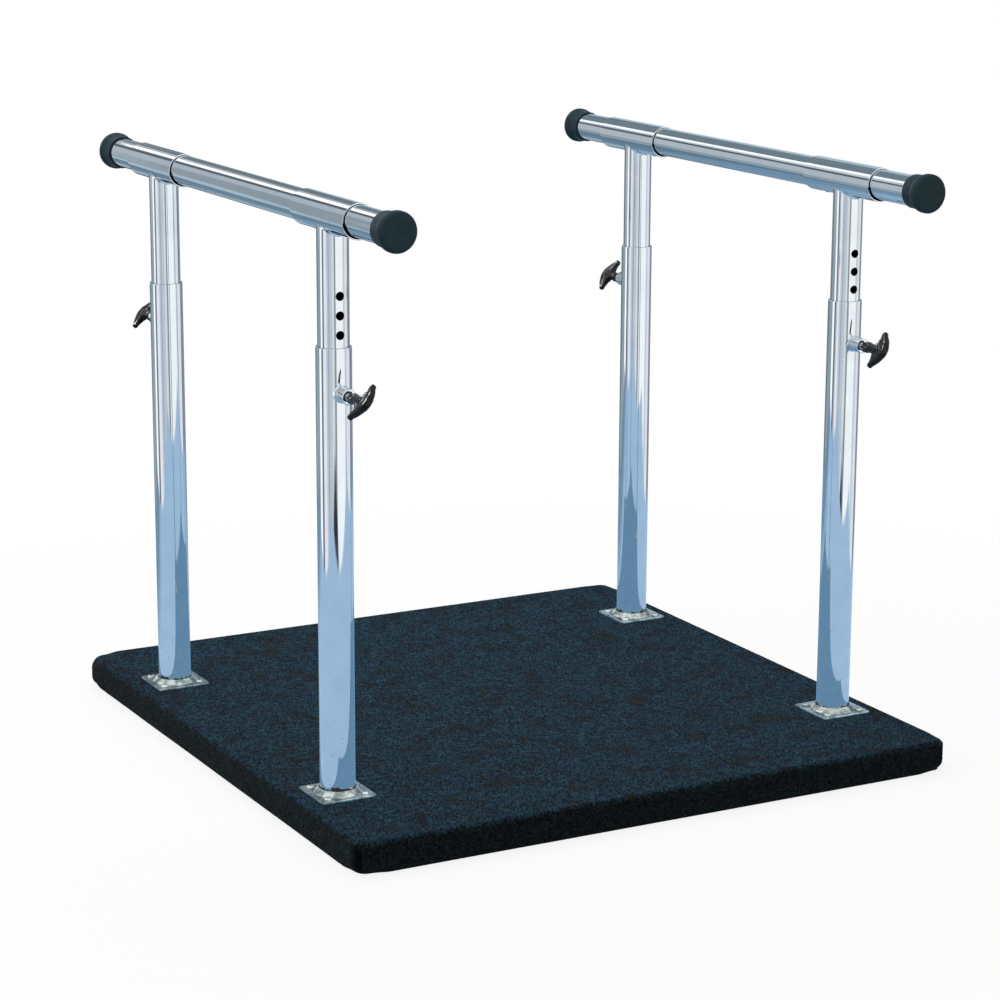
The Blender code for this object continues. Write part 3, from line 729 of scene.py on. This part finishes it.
def make_locks():
    knob_form = made("knob_form", together(hub_shape(), wing_shape()))
    melt = knob_form.modifiers.new("melt", "REMESH")
    melt.mode = "VOXEL"
    melt.voxel_size = KNOB_VOXEL
    soften = knob_form.modifiers.new("soften", "SMOOTH")
    soften.factor = 0.5
    soften.iterations = KNOB_SMOOTHING
    settle(knob_form)
    for vertex in knob_form.data.vertices:
        crowned(vertex.co)
    knob_form.data.shade_smooth()
    knobs = []
    for corner in CORNERS:
        place = lock_place(corner)
        boss = made(corner + "_chromed_boss", boss_shape(), place)
        hand_in(boss, "platform", "chrome_tube", corner + "_pin_boss", finish=CHROME_RAIL)
        pin = made(corner + "_steel_pin", pin_shape(), place)
        hand_in(pin, corner + "_pin", "chrome_tube", corner + "_lock_pin", finish=ZINC_SCREW)
        tilt = math.radians(KNOB_TILT[corner])
        # The wing's long side lies at the tilt from upright, towards +X at every corner.
        turn = facing_out(corner, Vector((math.sin(tilt), 0, math.cos(tilt))))
        knob = in_scene(corner + "_crescent_knob", knob_form.data.copy())
        knob.data.transform(Matrix.Translation(place.translation) @ turn)
        hand_in(knob, corner + "_knob", "knob_plastic", corner + "_knob", finish=KNOB_PLASTIC)
        knobs.append(knob)
    bpy.data.objects.remove(knob_form)
    return knobs


# Flanges and screws.

FLANGE_SIDE, FLANGE_R = 79 * MM, 4 * MM
FLANGE_Z, PLATE = 45.65 * MM, 2.5 * MM
SCREW_SPACING, SCREW_SEAT = 55 * MM, 48.2 * MM


def square_outline(side, radius, per_side=22, per_corner=7):
    """Points round a square with rounded corners, in order."""
    half = side / 2
    points = []
    for quarter in range(4):
        turn = Matrix.Rotation(quarter * math.pi / 2, 2)
        for k in range(per_side):
            y = -(half - radius) + 2 * (half - radius) * k / per_side
            points.append(turn @ Vector((half, y)))
        for k in range(per_corner):
            angle = math.pi / 2 * k / per_corner
            corner = Vector((half - radius, half - radius))
            points.append(turn @ (corner + radius * Vector((math.cos(angle), math.sin(angle)))))
    return points


def flange_shape():
    """A pressed square plate whose middle rises to a collar round the post, hollow below."""
    rim = square_outline(FLANGE_SIDE, FLANGE_R)
    well = in_mm((20.1, 0.0, 0), (20.1, 1.5, 0.3), (24.1, 1.5, 0.3), (24.6, 9.5, 0.5), (26.3, 9.5, 0.9))
    slope = in_mm((29.4, 6.0, 3.0), (33.0, 2.5, 2.2), (34.6, 2.5, 0))
    rows = [[(*(p.normalized() * radius), height) for p in rim] for radius, height in eased([*well, *slope])]
    lips = [(2.4 * MM, PLATE), *edge_round(0.7 * MM, PLATE, 4), (0.0, 0.2 * MM), (0.2 * MM, 0.0)]
    for inset, height in lips:
        outline = square_outline(FLANGE_SIDE - 2 * inset, FLANGE_R - inset)
        rows.append([(*p, height) for p in outline])
    vertices, rings = stacked(rows)
    return vertices, skin(zip(rings, [*rings[1:], rings[0]]), len(rim))


def make_flanges():
    for corner in CORNERS:
        post = middle(corner + "_outer_post")
        place = Matrix.Translation((post.x, post.y, FLANGE_Z))
        flange = made(corner + "_zinc_flange", flange_shape(), place, crease=35)
        hand_in(flange, "platform", "zinc_plate", corner + "_flange", finish=ZINC_FLANGE)


def screw_form():
    """A round-head wood screw with a cross recess, standing on the seat of its head at the origin."""
    head = in_mm((0.0, 3.5, 0), (2.0, 3.5, 1.2), (4.0, 2.9, 2.0), (5.6, 1.2, 1.0), (5.6, 0.0, 0.3))
    shank = in_mm((2.4, 0.0, 0.2), (2.4, -21, 0.5), (0.0, -25, 0))
    screw = made("screw_form", turned(eased([*head, *shank], 3), 36, closed=False))
    long_arm, half_width = 2.75 * MM, 0.6 * MM
    quarter = [(long_arm, -half_width), (long_arm, half_width), (half_width, half_width)]
    plus = [Matrix.Rotation(k * math.pi / 2, 2) @ Vector(p) for k in range(4) for p in quarter]
    rings = [range(12), range(12, 24)]
    vertices = [(*(p * 0.8), 1.7 * MM) for p in plus] + [(*p, 4 * MM) for p in plus]
    cross = made("cross_form", (vertices, [*skin([rings], 12), list(rings[0]), list(rings[1])]))
    cut = screw.modifiers.new("cross", "BOOLEAN")
    cut.operation = "DIFFERENCE"
    cut.solver = "EXACT"
    cut.object = cross
    settle(screw)
    bpy.data.objects.remove(cross)
    smoothed(screw.data)
    return screw


def screws_tree():
    """A screw at each corner of each of four plates, every one turned its own way."""
    tree, given = node_tree(
        "plate_screws",
        Posts_Across="Float",
        Posts_Along="Float",
        Screw_Spacing="Float",
        Seat="Vector",
        Turn_Seed="Int",
        Finish="Material",
    )
    grids = []
    for across, along in (("Posts Across", "Posts Along"), ("Screw Spacing", "Screw Spacing")):
        grid_of = {"Size X": given[across], "Size Y": given[along], "Vertices X": 2, "Vertices Y": 2}
        grids.append(add(tree, "GeometryNodeMeshGrid", grid_of))
    plates = add(tree, "GeometryNodeInstanceOnPoints", {"Points": grids[0], "Instance": grids[1]})
    places = add(tree, "GeometryNodeRealizeInstances", {"Geometry": plates})
    any_way = {0: (0, 0, 0), 1: (0, 0, 2 * math.pi), "Seed": given["Turn Seed"]}
    turn = add(tree, "FunctionNodeRandomValue", any_way, data_type="FLOAT_VECTOR")
    screwed = {"Points": places, "Instance": given["Geometry"], "Rotation": turn}
    screws = add(tree, "GeometryNodeInstanceOnPoints", screwed)
    seated = add(tree, "GeometryNodeTransform", {"Geometry": screws, "Translation": given["Seat"]})
    close_tree(tree, seated, given["Finish"])
    return tree


def make_screws():
    first, last = middle("left_front_outer_post"), middle("right_rear_outer_post")
    screws = screw_form()
    screws.name = "flange_screws"
    plates = {"Posts Across": last.x - first.x, "Posts Along": last.y - first.y}
    pattern = {"Screw Spacing": SCREW_SPACING, "Seat": (0, 0, SCREW_SEAT), "Turn Seed": 7}
    grow(screws, screws_tree(), Finish=ZINC_SCREW, **plates, **pattern)
    nodes = [f"{corner}_flange_screw_{k}" for corner in CORNERS for k in range(1, 5)]
    hand_in(screws, "platform", "zinc_plate", *nodes)


# The carpeted board.

CARPET_X, CARPET_Y = 463.8 * MM, 484.3 * MM
CARPET_CORNER = 20.8 * MM
CARPET_TOP = 45.35 * MM
CARPET_THICK = 6.5 * MM
TOP_ROUND, UNDER_ROUND = 8 * MM, 6.5 * MM
TURNED_UNDER = 71.8 * MM
# How deep the fold and the flap beside it lie at a corner, and how deep a groove may be over the board.
FOLD_DEPTH, FLAP_DEPTH, DEEPEST = 6.0 * MM, 1.6 * MM, 5.9 * MM
# How much fuller the edges are rounded at the corners: on top, at the left rear and at the others, and below.
FULL_LEFT_REAR, FULL_TOP, FULL_UNDER = 11 * MM, 3 * MM, 7 * MM
# How far along the sides a corner's fullness and its flap ease out.
CORNER_EASE = 30 * MM
# How far apart points are along the carpet's edge, and on its top and inside.
EDGE_GRID, FIELD_GRID = 3.2 * MM, 16 * MM


def rim_points(half_x, half_y, radius, spacing):
    """Points and outward normals round a rectangle with rounded corners, in order from its +X +Y corner."""
    points, normals = [], []
    arc_steps = 24
    signs = [(1, 1), (-1, 1), (-1, -1), (1, -1)]
    for k, (sx, sy) in enumerate(signs):
        corner = Vector((sx * (half_x - radius), sy * (half_y - radius)))
        start = k * math.pi / 2
        for i in range(arc_steps + 1):
            angle = start + math.pi / 2 * i / arc_steps
            way = Vector((math.cos(angle), math.sin(angle)))
            points.append(corner + way * radius)
            normals.append(way)
        next_x, next_y = signs[(k + 1) % 4]
        target = Vector((next_x * (half_x - radius), next_y * (half_y - radius))) + way * radius
        run = target - points[-1]
        full = 2 * (CARPET_X if k % 2 == 0 else CARPET_Y) - 2 * CARPET_CORNER
        steps = round(full / spacing)
        last = points[-1]
        for i in range(1, steps):
            points.append(last + run * i / steps)
            normals.append(way)
    return points, normals


def carpet_rows():
    """The carpet's section as (inset from the rim, height): its outer skin from the top, round the side and
    under the board, then back along the inner skin. Also how many of the rows are outer skin."""
    rows = [(inset * MM, CARPET_TOP) for inset in (60, 40, 24, 14, 9)]
    rows += edge_round(TOP_ROUND, CARPET_TOP, 7)
    side_steps = 10
    side_top, side_low = CARPET_TOP - TOP_ROUND, UNDER_ROUND
    for k in range(1, side_steps):
        rows.append((0.0, side_top + (side_low - side_top) * k / side_steps))
    for k in range(6):
        angle = math.pi / 2 * k / 5
        rows.append((UNDER_ROUND * (1 - math.cos(angle)), UNDER_ROUND * (1 - math.sin(angle))))
    rows += [(12 * MM, 0.0), (30 * MM, 0.0), (TURNED_UNDER - 1.0 * MM, 0.0), (TURNED_UNDER, 0.6 * MM)]
    outer = len(rows)
    gap = CARPET_THICK
    rows += [(TURNED_UNDER, gap - 0.6 * MM), (TURNED_UNDER - 1.0 * MM, gap), (30 * MM, gap)]
    rows += [(gap, gap), (gap, CARPET_TOP - gap), (60 * MM, CARPET_TOP - gap)]
    return rows, outer


def carpet_shape():
    section, outer = carpet_rows()
    rows = []
    for i, (inset, height) in enumerate(section):
        radius = max(CARPET_CORNER - inset, 2 * MM)
        points, normals = rim_points(CARPET_X - inset, CARPET_Y - inset, radius, EDGE_GRID)
        places = [Vector((p.x, p.y, height)) for p in points]
        if i < outer:
            places = [pressed(place, normal, inset) for place, normal in zip(places, normals)]
        rows.append(places)
    vertices, rings = stacked(rows)
    faces = skin(zip(rings, rings[1:]), len(rings[0]))
    for row in (rows[0], rows[-1]):
        filled, triangles = filling(row, FIELD_GRID)
        faces += [[len(vertices) + i for i in triangle] for triangle in triangles]
        vertices += filled
    return vertices, faces


def filling(ring, spacing):
    """Fills a flat ring of points with even triangles. Its own rim points come first, in the same places."""
    low = Vector(map(min, *(p.xy for p in ring)))
    high = Vector(map(max, *(p.xy for p in ring)))
    rim = [p.xy for p in ring]
    inner = []
    columns, rows = int((high.x - low.x) / spacing), int((high.y - low.y) / spacing)
    for i in range(1, columns):
        for j in range(1, rows):
            shift = 0.5 if j % 2 else 0.0
            x = low.x + (high.x - low.x) * (i + shift * 0.98) / columns
            y = low.y + (high.y - low.y) * j / rows
            if x < high.x - 0.3 * spacing:
                inner.append(Vector((x, y)))
    edges = [(i, (i + 1) % len(rim)) for i in range(len(rim))]
    points, _, triangles, *_ = delaunay_2d_cdt(rim + inner, edges, [], 1, 1e-7)
    return [Vector((p.x, p.y, ring[0].z)) for p in points], [list(t) for t in triangles]


def past_straight(place):
    """How far a point lies past the end of the straight front or rear edge, and of the straight side."""
    return abs(place.x) - (CARPET_X - CARPET_CORNER), abs(place.y) - (CARPET_Y - CARPET_CORNER)


def cornering(place):
    """1 round the corners, easing to 0 along the sides."""
    across, along = past_straight(place)
    near = max(0.0, 1 - max(-across, -along, 0.0) / CORNER_EASE)
    return near**2 * (3 - 2 * near)


def rounded_off(inset, depth, radius):
    """Moves a point of the section on to an edge's rounding, if it lies outside it."""
    arm = Vector((radius - inset, radius - depth))
    if min(arm) <= 0 or arm.length <= radius:
        return inset, depth
    arm *= radius / arm.length
    return radius - arm.x, radius - arm.y


def pressed(place, normal, inset):
    """The nap and the make-up of the outer skin: a little uneven, fuller round the corners, and creased where
    it folds there."""
    fuzz = noise.noise(place / (3.5 * MM)) * 0.35 * MM
    swell = noise.noise(place / (170 * MM) + Vector((3, 1, 7))) * 0.5 * MM
    sunk = max(FOLD_DEPTH * fold(place), FLAP_DEPTH * flap(place))
    if place.z > CARPET_TOP / 2:
        fuller = FULL_LEFT_REAR if place.x < 0 < place.y else FULL_TOP
        moved, depth = rounded_off(inset, CARPET_TOP - place.z, TOP_ROUND + fuller * cornering(place))
        height = CARPET_TOP - depth
    else:
        moved, height = rounded_off(inset, place.z, UNDER_ROUND + FULL_UNDER * cornering(place))
    drawn = moved - inset
    if inset > TOP_ROUND + 0.1 * MM and place.z > 20 * MM:
        height += fuzz * 0.6 * min(1.0, (60 * MM - inset) / (20 * MM))
        out = -drawn
    elif place.z < 0.3 * MM:
        height += abs(fuzz) * 0.5
        out = -drawn
    else:
        out = fuzz + swell - drawn - max(0.0, min(sunk, DEEPEST - drawn))
    return Vector((place.x, place.y, height)) + Vector((*normal, 0)) * out


def down_the_side(place):
    """0 on top, easing to 1 round the top edge."""
    return clamped((CARPET_TOP - 1.5 * MM - place.z) / (4 * MM))


def below_the_edge(place):
    """0 at the top edge and above, easing to 1 a little way down the side."""
    return clamped((CARPET_TOP - 6 * MM - place.z) / (7 * MM))


def fold(place):
    """The narrow groove down each corner, where the carpet folds over itself: 0 to 1. It lies nearer to the
    side on the left front corner than on the others."""
    across, along = past_straight(place)
    if across <= 0 or along <= 0:
        return 0.0
    lean = math.degrees(math.atan2(across, along))
    groove = 52 if place.x < 0 and place.y < 0 else 37
    return below_the_edge(place) * min(1.0, 1.7 * math.exp(-(((lean - groove) / 15) ** 2)))


def flap(place):
    """The part of the front and rear beside each fold, which lies a little lower and eases out: 0 to 1."""
    across, along = past_straight(place)
    if across < -CORNER_EASE or along < across * 1.2:
        return 0.0
    return below_the_edge(place) * min(1.0, 1 + across / CORNER_EASE) ** 2


def make_platform():
    carpet = made("heather_carpet", carpet_shape(), crease=60)
    # These marks drive the carpet's painted shade in the folds and its painted greyer light down the sides.
    for name, amount in (("fold", fold), ("side", down_the_side)):
        amounts = [amount(vertex.co) for vertex in carpet.data.vertices]
        carpet.data.attributes.new(name, "FLOAT", "POINT").data.foreach_set("value", amounts)
    hand_in(carpet, "platform", "carpet", "carpet_cover", finish=CARPET)
    kept_parts = {corner + "_set_screw": BLACK_SCREW for corner in CORNERS}
    for node, finish in {"platform_board": PLYWOOD, **kept_parts}.items():
        for slot_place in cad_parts[node].material_slots:
            slot_place.material = finish


# Camera, surroundings and lamps.


def make_camera():
    azimuth, elevation, roll = (math.radians(a) for a in (-28.2919, 13.4473, 0.2309))
    flat = math.cos(elevation)
    back = Vector((math.sin(azimuth) * flat, -math.cos(azimuth) * flat, math.sin(elevation)))
    level = Vector((math.cos(azimuth), math.sin(azimuth), 0))
    upright = back.cross(level)
    right = level * math.cos(roll) + upright * math.sin(roll)
    up = upright * math.cos(roll) - level * math.sin(roll)
    lens = bpy.data.cameras.new("camera")
    lens.lens, lens.sensor_width = 106.2, 36.0
    lens.clip_start, lens.clip_end = 0.05, 100
    camera = in_scene("camera", lens)
    turn = Matrix((right, up, back)).transposed().to_4x4()
    camera.matrix_world = Matrix.Translation((-1.9834, -3.6857, 1.3433)) @ turn
    bpy.context.scene.camera = camera


# How much of its light the chrome gives back.
CHROME_MIRROR = 0.69

# What the chrome mirrors, as a ring of studio flats seen from the object: where each ends, in degrees
# round from +X, and the tone it has in the chrome.
FLATS = [
    (-163, "E6E6EE"),
    (-150, "BCC3CC"),
    (-145, "949AA0"),
    (-124, "BCC3CC"),
    (-109, "D5DADC"),
    (-98, "8A8D8E"),
    (-43, "F2F4F6"),
    (-28, "C5C8CE"),
    (1, "DDE0E6"),
    (65, "7F8492"),
    (86, "48555C"),
    (108, "66757C"),
    (144, "8B9BA3"),
    (161, "FFFFFF"),
    (175, "70767F"),
    (180, "E6E6EE"),
]

# The ceiling, and smaller flats hung over and under the horizon: from and to in degrees round from +X, from
# and to in degrees above the horizon, how soft the edge is in degrees, and the tone in the chrome.
PANELS = [
    (-180, 180, 36, 200, 3.0, "E4E9EC"),
    (30, 66, -6, 200, 1.0, "A0B0BC"),
    (66, 79, -6, 27, 1.0, "66727A"),
    (66, 103, 27, 200, 1.0, "6C7B85"),
    (79, 97, -6, 27, 1.0, "A3A7AE"),
    (103, 113, -6, 27, 0.7, "A7B0B9"),
    (97, 104, 17, 27, 0.7, "565F67"),
    (112, 117, -12, 11, 0.8, "8B959E"),
    (117, 144, -8, 13, 0.8, "AFB5BC"),
    (112, 124, 20, 27, 0.8, "C0C6CC"),
    (114.5, 124, 13.5, 20, 0.8, "565C60"),
    (105, 112, -19, -11, 1.0, "A2B5C3"),
    (92, 105, -40, -19, 1.0, "677E8F"),
    (70, 92, -40, -19, 1.0, "8DA1B0"),
    (108, 126, -40, -18, 1.0, "5F788B"),
    (72, 106, -4, 13, 1.5, "FFFFFF"),
]


# The half width of the soft edges in the ring, in degrees.
RING_EDGE = 1.2

# A dark gap in the ring on the camera's side: its middle in degrees round from +X, where it starts in degrees
# above the horizon, and how many degrees each half widens for a degree down.
GAP_MIDDLE, GAP_TOP, GAP_WIDENING = -113.0, -12.4, 8.5


def flat_tone(colour):
    """How bright a flat has to be for its tone to show in the chrome."""
    return [c / CHROME_MIRROR for c in linear(colour)[:3]] + [1.0]


def band(tree, value, low, high, ease):
    """1 where the value lies between low and high, easing to 0 outside."""
    up = add(tree, "ShaderNodeMapRange", span(value, low - ease, low + ease))
    down = add(tree, "ShaderNodeMapRange", span(value, high - ease, high + ease, 1.0, 0.0))
    return add(tree, "ShaderNodeMath", {0: up, 1: down}, operation="MULTIPLY")


def make_world():
    """White for the camera, plain soft light for matt surfaces, and a ring of pale and dark studio flats for
    metal, which would look like nothing in an all-white room."""
    world = bpy.data.worlds.new("studio")
    bpy.context.scene.world = world
    tree = emptied(world)
    way = add(tree, "ShaderNodeTexCoord").outputs["Generated"]
    parts = add(tree, "ShaderNodeSeparateXYZ", {"Vector": way}).outputs
    angle = add(tree, "ShaderNodeMath", {0: parts["Y"], 1: parts["X"]}, operation="ARCTAN2")
    rise = add(tree, "ShaderNodeMath", {0: parts["Z"]}, operation="ARCSINE")
    around = add(tree, "ShaderNodeMath", {0: angle, 1: 180 / math.pi}, operation="MULTIPLY")
    above = add(tree, "ShaderNodeMath", {0: rise, 1: 180 / math.pi}, operation="MULTIPLY")
    turn = add(tree, "ShaderNodeMapRange", span(angle, -math.pi, math.pi))
    stops, start = [], -180
    for end, tone in FLATS:
        edges = (start + RING_EDGE, end - RING_EDGE)
        stops += [((edge + 180) / 360, flat_tone(tone)) for edge in edges]
        start = end
    colour = add(tree, "ShaderNodeValToRGB", {"Fac": turn}, stops=stops)

    coats = []
    for az_low, az_high, low, high, ease, tone in PANELS:
        sides, ends = band(tree, around, az_low, az_high, ease), band(tree, above, low, high, ease)
        share = add(tree, "ShaderNodeMath", {0: sides, 1: ends}, operation="MULTIPLY")
        coats.append((share, flat_tone(tone)))
    lean = add(tree, "ShaderNodeMath", {0: around, 1: GAP_MIDDLE}, operation="SUBTRACT")
    off = add(tree, "ShaderNodeMath", {0: lean}, operation="ABSOLUTE")
    below = add(tree, "ShaderNodeMath", {0: GAP_TOP, 1: above}, operation="SUBTRACT")
    wide = add(tree, "ShaderNodeMath", {0: below, 1: GAP_WIDENING}, operation="MULTIPLY")
    inside = add(tree, "ShaderNodeMath", {0: wide, 1: off}, operation="SUBTRACT")
    gap = add(tree, "ShaderNodeMapRange", span(inside, -1.0, 1.5))
    coats.append((gap, flat_tone("2A3036")))
    for share, tone in coats:
        mix = add(tree, "ShaderNodeMix", {FACTOR: share, FIRST: colour, SECOND: tone}, data_type="RGBA")
        colour = mix.outputs[BLENDED]

    rays = add(tree, "ShaderNodeLightPath").outputs
    through = {0: rays["Is Camera Ray"], 1: rays["Is Transmission Ray"]}
    seen = add(tree, "ShaderNodeMath", through, operation="MAXIMUM")
    sky = [0.27, 0.26, 0.23, 1.0]
    for share, tone in ((seen, WHITE), (rays["Is Glossy Ray"], colour)):
        mix = add(tree, "ShaderNodeMix", {FACTOR: share, FIRST: sky, SECOND: tone}, data_type="RGBA")
        sky = mix.outputs[BLENDED]
    background = add(tree, "ShaderNodeBackground", {"Color": sky, "Strength": 1.0})
    add(tree, "ShaderNodeOutputWorld", {"Surface": background})


def stage_card(name, size_x, size_y, centre):
    """A flat card that isn't part of the object, and the empty tree of its material."""
    mesh = bpy.data.meshes.new(name)
    x, y = size_x / 2, size_y / 2
    mesh.from_pydata([(-x, -y, 0), (x, -y, 0), (x, y, 0), (-x, y, 0)], [], [(0, 1, 2, 3)])
    mesh.transform(Matrix.Translation(centre))
    material = bpy.data.materials.new(name)
    mesh.materials.append(material)
    card = in_scene(name, mesh)
    return card, emptied(material)


def make_floor():
    """A plain white floor. The camera sees it white with the object's soft shadow on it, which fades out from
    0.75 to 1.7 m off the middle. Metal sees a sheet of pale blue paper under the object, 3.2 m across and
    darker behind, and the room beyond its edges."""
    _, tree = stage_card("floor", 60, 60, (0, 0, -0.5 * MM))
    rays = add(tree, "ShaderNodeLightPath").outputs
    place = add(tree, "ShaderNodeTexCoord").outputs["Object"]
    away = add(tree, "ShaderNodeVectorMath", {0: place}, operation="LENGTH").outputs["Value"]
    far = add(tree, "ShaderNodeMapRange", span(away, 0.75, 1.7), interpolation_type="SMOOTHSTEP")
    lit = add(tree, "ShaderNodeBsdfDiffuse", {"Color": (0.26, 0.26, 0.27, 1)})
    base = add(tree, "ShaderNodeEmission", {"Color": WHITE, "Strength": 0.86})
    near = add(tree, "ShaderNodeAddShader", {0: lit, 1: base})
    white = add(tree, "ShaderNodeEmission", {"Color": WHITE, "Strength": 1.0})
    seen = add(tree, "ShaderNodeMixShader", {0: far, 1: near, 2: white})
    dull = add(tree, "ShaderNodeBsdfDiffuse", {"Color": (0.16, 0.17, 0.18, 1)})
    room = add(tree, "ShaderNodeBsdfTransparent")
    parts = add(tree, "ShaderNodeSeparateXYZ", {"Vector": place}).outputs
    behind = add(tree, "ShaderNodeMapRange", span(parts["Y"], 0.55, 1.0))
    blues = {FACTOR: behind, FIRST: flat_tone("9DB8D2"), SECOND: flat_tone("6F8BA2")}
    blue = add(tree, "ShaderNodeMix", blues, data_type="RGBA").outputs[BLENDED]
    paper = add(tree, "ShaderNodeEmission", {"Color": blue, "Strength": 1.0})
    across, along = band(tree, parts["X"], -1.75, 1.4, 0.02), band(tree, parts["Y"], -1.67, 1.5, 0.02)
    sheet = add(tree, "ShaderNodeMath", {0: across, 1: along}, operation="MULTIPLY")
    mirrored = add(tree, "ShaderNodeMixShader", {0: sheet, 1: room, 2: paper})
    first = add(tree, "ShaderNodeMixShader", {0: rays["Is Camera Ray"], 1: dull, 2: seen})
    both = add(tree, "ShaderNodeMixShader", {0: rays["Is Glossy Ray"], 1: first, 2: mirrored})
    add(tree, "ShaderNodeOutputMaterial", {"Surface": both})


def glossy_card(name, size_x, size_y, centre, colour, strength, share):
    """A glowing card that only mirrors see, so it lights nothing."""
    card, tree = stage_card(name, size_x, size_y, centre)
    glow = add(tree, "ShaderNodeEmission", {"Color": colour, "Strength": strength})
    clear = add(tree, "ShaderNodeBsdfTransparent")
    mix = add(tree, "ShaderNodeMixShader", {0: share, 1: clear, 2: glow})
    add(tree, "ShaderNodeOutputMaterial", {"Surface": mix})
    for ray in ("camera", "diffuse", "transmission", "volume_scatter", "shadow"):
        setattr(card, "visible_" + ray, False)


def make_cards():
    """A white strip overhead for the handrails. Just over the carpet, a painted reflection: a pale blue glow
    that only mirrors see, so the feet mirror the carpet paler than it looks from the camera."""
    glossy_card("strip_overhead", 0.55, 4.0, (-0.475, 1.8, 2.2), WHITE, 1.5, 1.0)
    nap = (2 * (CARPET_X - TOP_ROUND), 2 * (CARPET_Y - TOP_ROUND))
    # Painted reflection: a pale blue glow over the carpet's top that only mirrors see.
    glossy_card("painted_carpet_reflection", *nap, (0, 0, CARPET_TOP + 0.35 * MM), flat_tone("6E93B2"), 1.0, 0.8)


def lamp(name, size, place, aim, radiance, only=()):
    """A soft rectangular lamp. Its power follows from its size and how bright its face is. A lamp for only
    some pieces gives them a highlight; the others are for matt surfaces and don't show in metal."""
    light = bpy.data.lights.new(name, "AREA")
    light.shape = "RECTANGLE"
    light.size, light.size_y = size
    light.energy = radiance * math.pi * size[0] * size[1]
    obj = in_scene(name, light)
    way = Vector(aim) - Vector(place)
    obj.matrix_world = Matrix.Translation(place) @ way.to_track_quat("-Z", "Y").to_matrix().to_4x4()
    obj.visible_camera = False
    obj.visible_glossy = bool(only)
    if only:
        lit = bpy.data.collections.new(name + "_lights")
        for piece in only:
            lit.objects.link(piece)
        obj.light_linking.receiver_collection = lit


def make_lights(tips, knobs):
    lamp("soft_overhead", (2.6, 2.6), (0.0, 0.8, 2.7), (0.0, 0.1, 0.0), 1.0)
    lamp("fill_left", (1.2, 1.6), (-2.6, 0.2, 1.0), (0.0, 0.0, 0.1), 0.75)
    lamp("knob_highlight", (6.0, 3.4), (-6.1, 5.3, 9.4), (0.0, 0.0, 0.6), 70.0, knobs)
    lamp("tip_highlight", (2.4, 1.6), (-3.2, -4.6, 3.4), (0.0, 0.0, 0.8), 7.0, tips)


def main():
    scene = bpy.context.scene
    scene.view_settings.view_transform = "Standard"
    make_camera()
    make_world()
    make_floor()
    make_cards()
    make_platform()
    make_flanges()
    make_screws()
    make_posts()
    make_rails()
    make_lights(make_tips(), make_locks())


main()
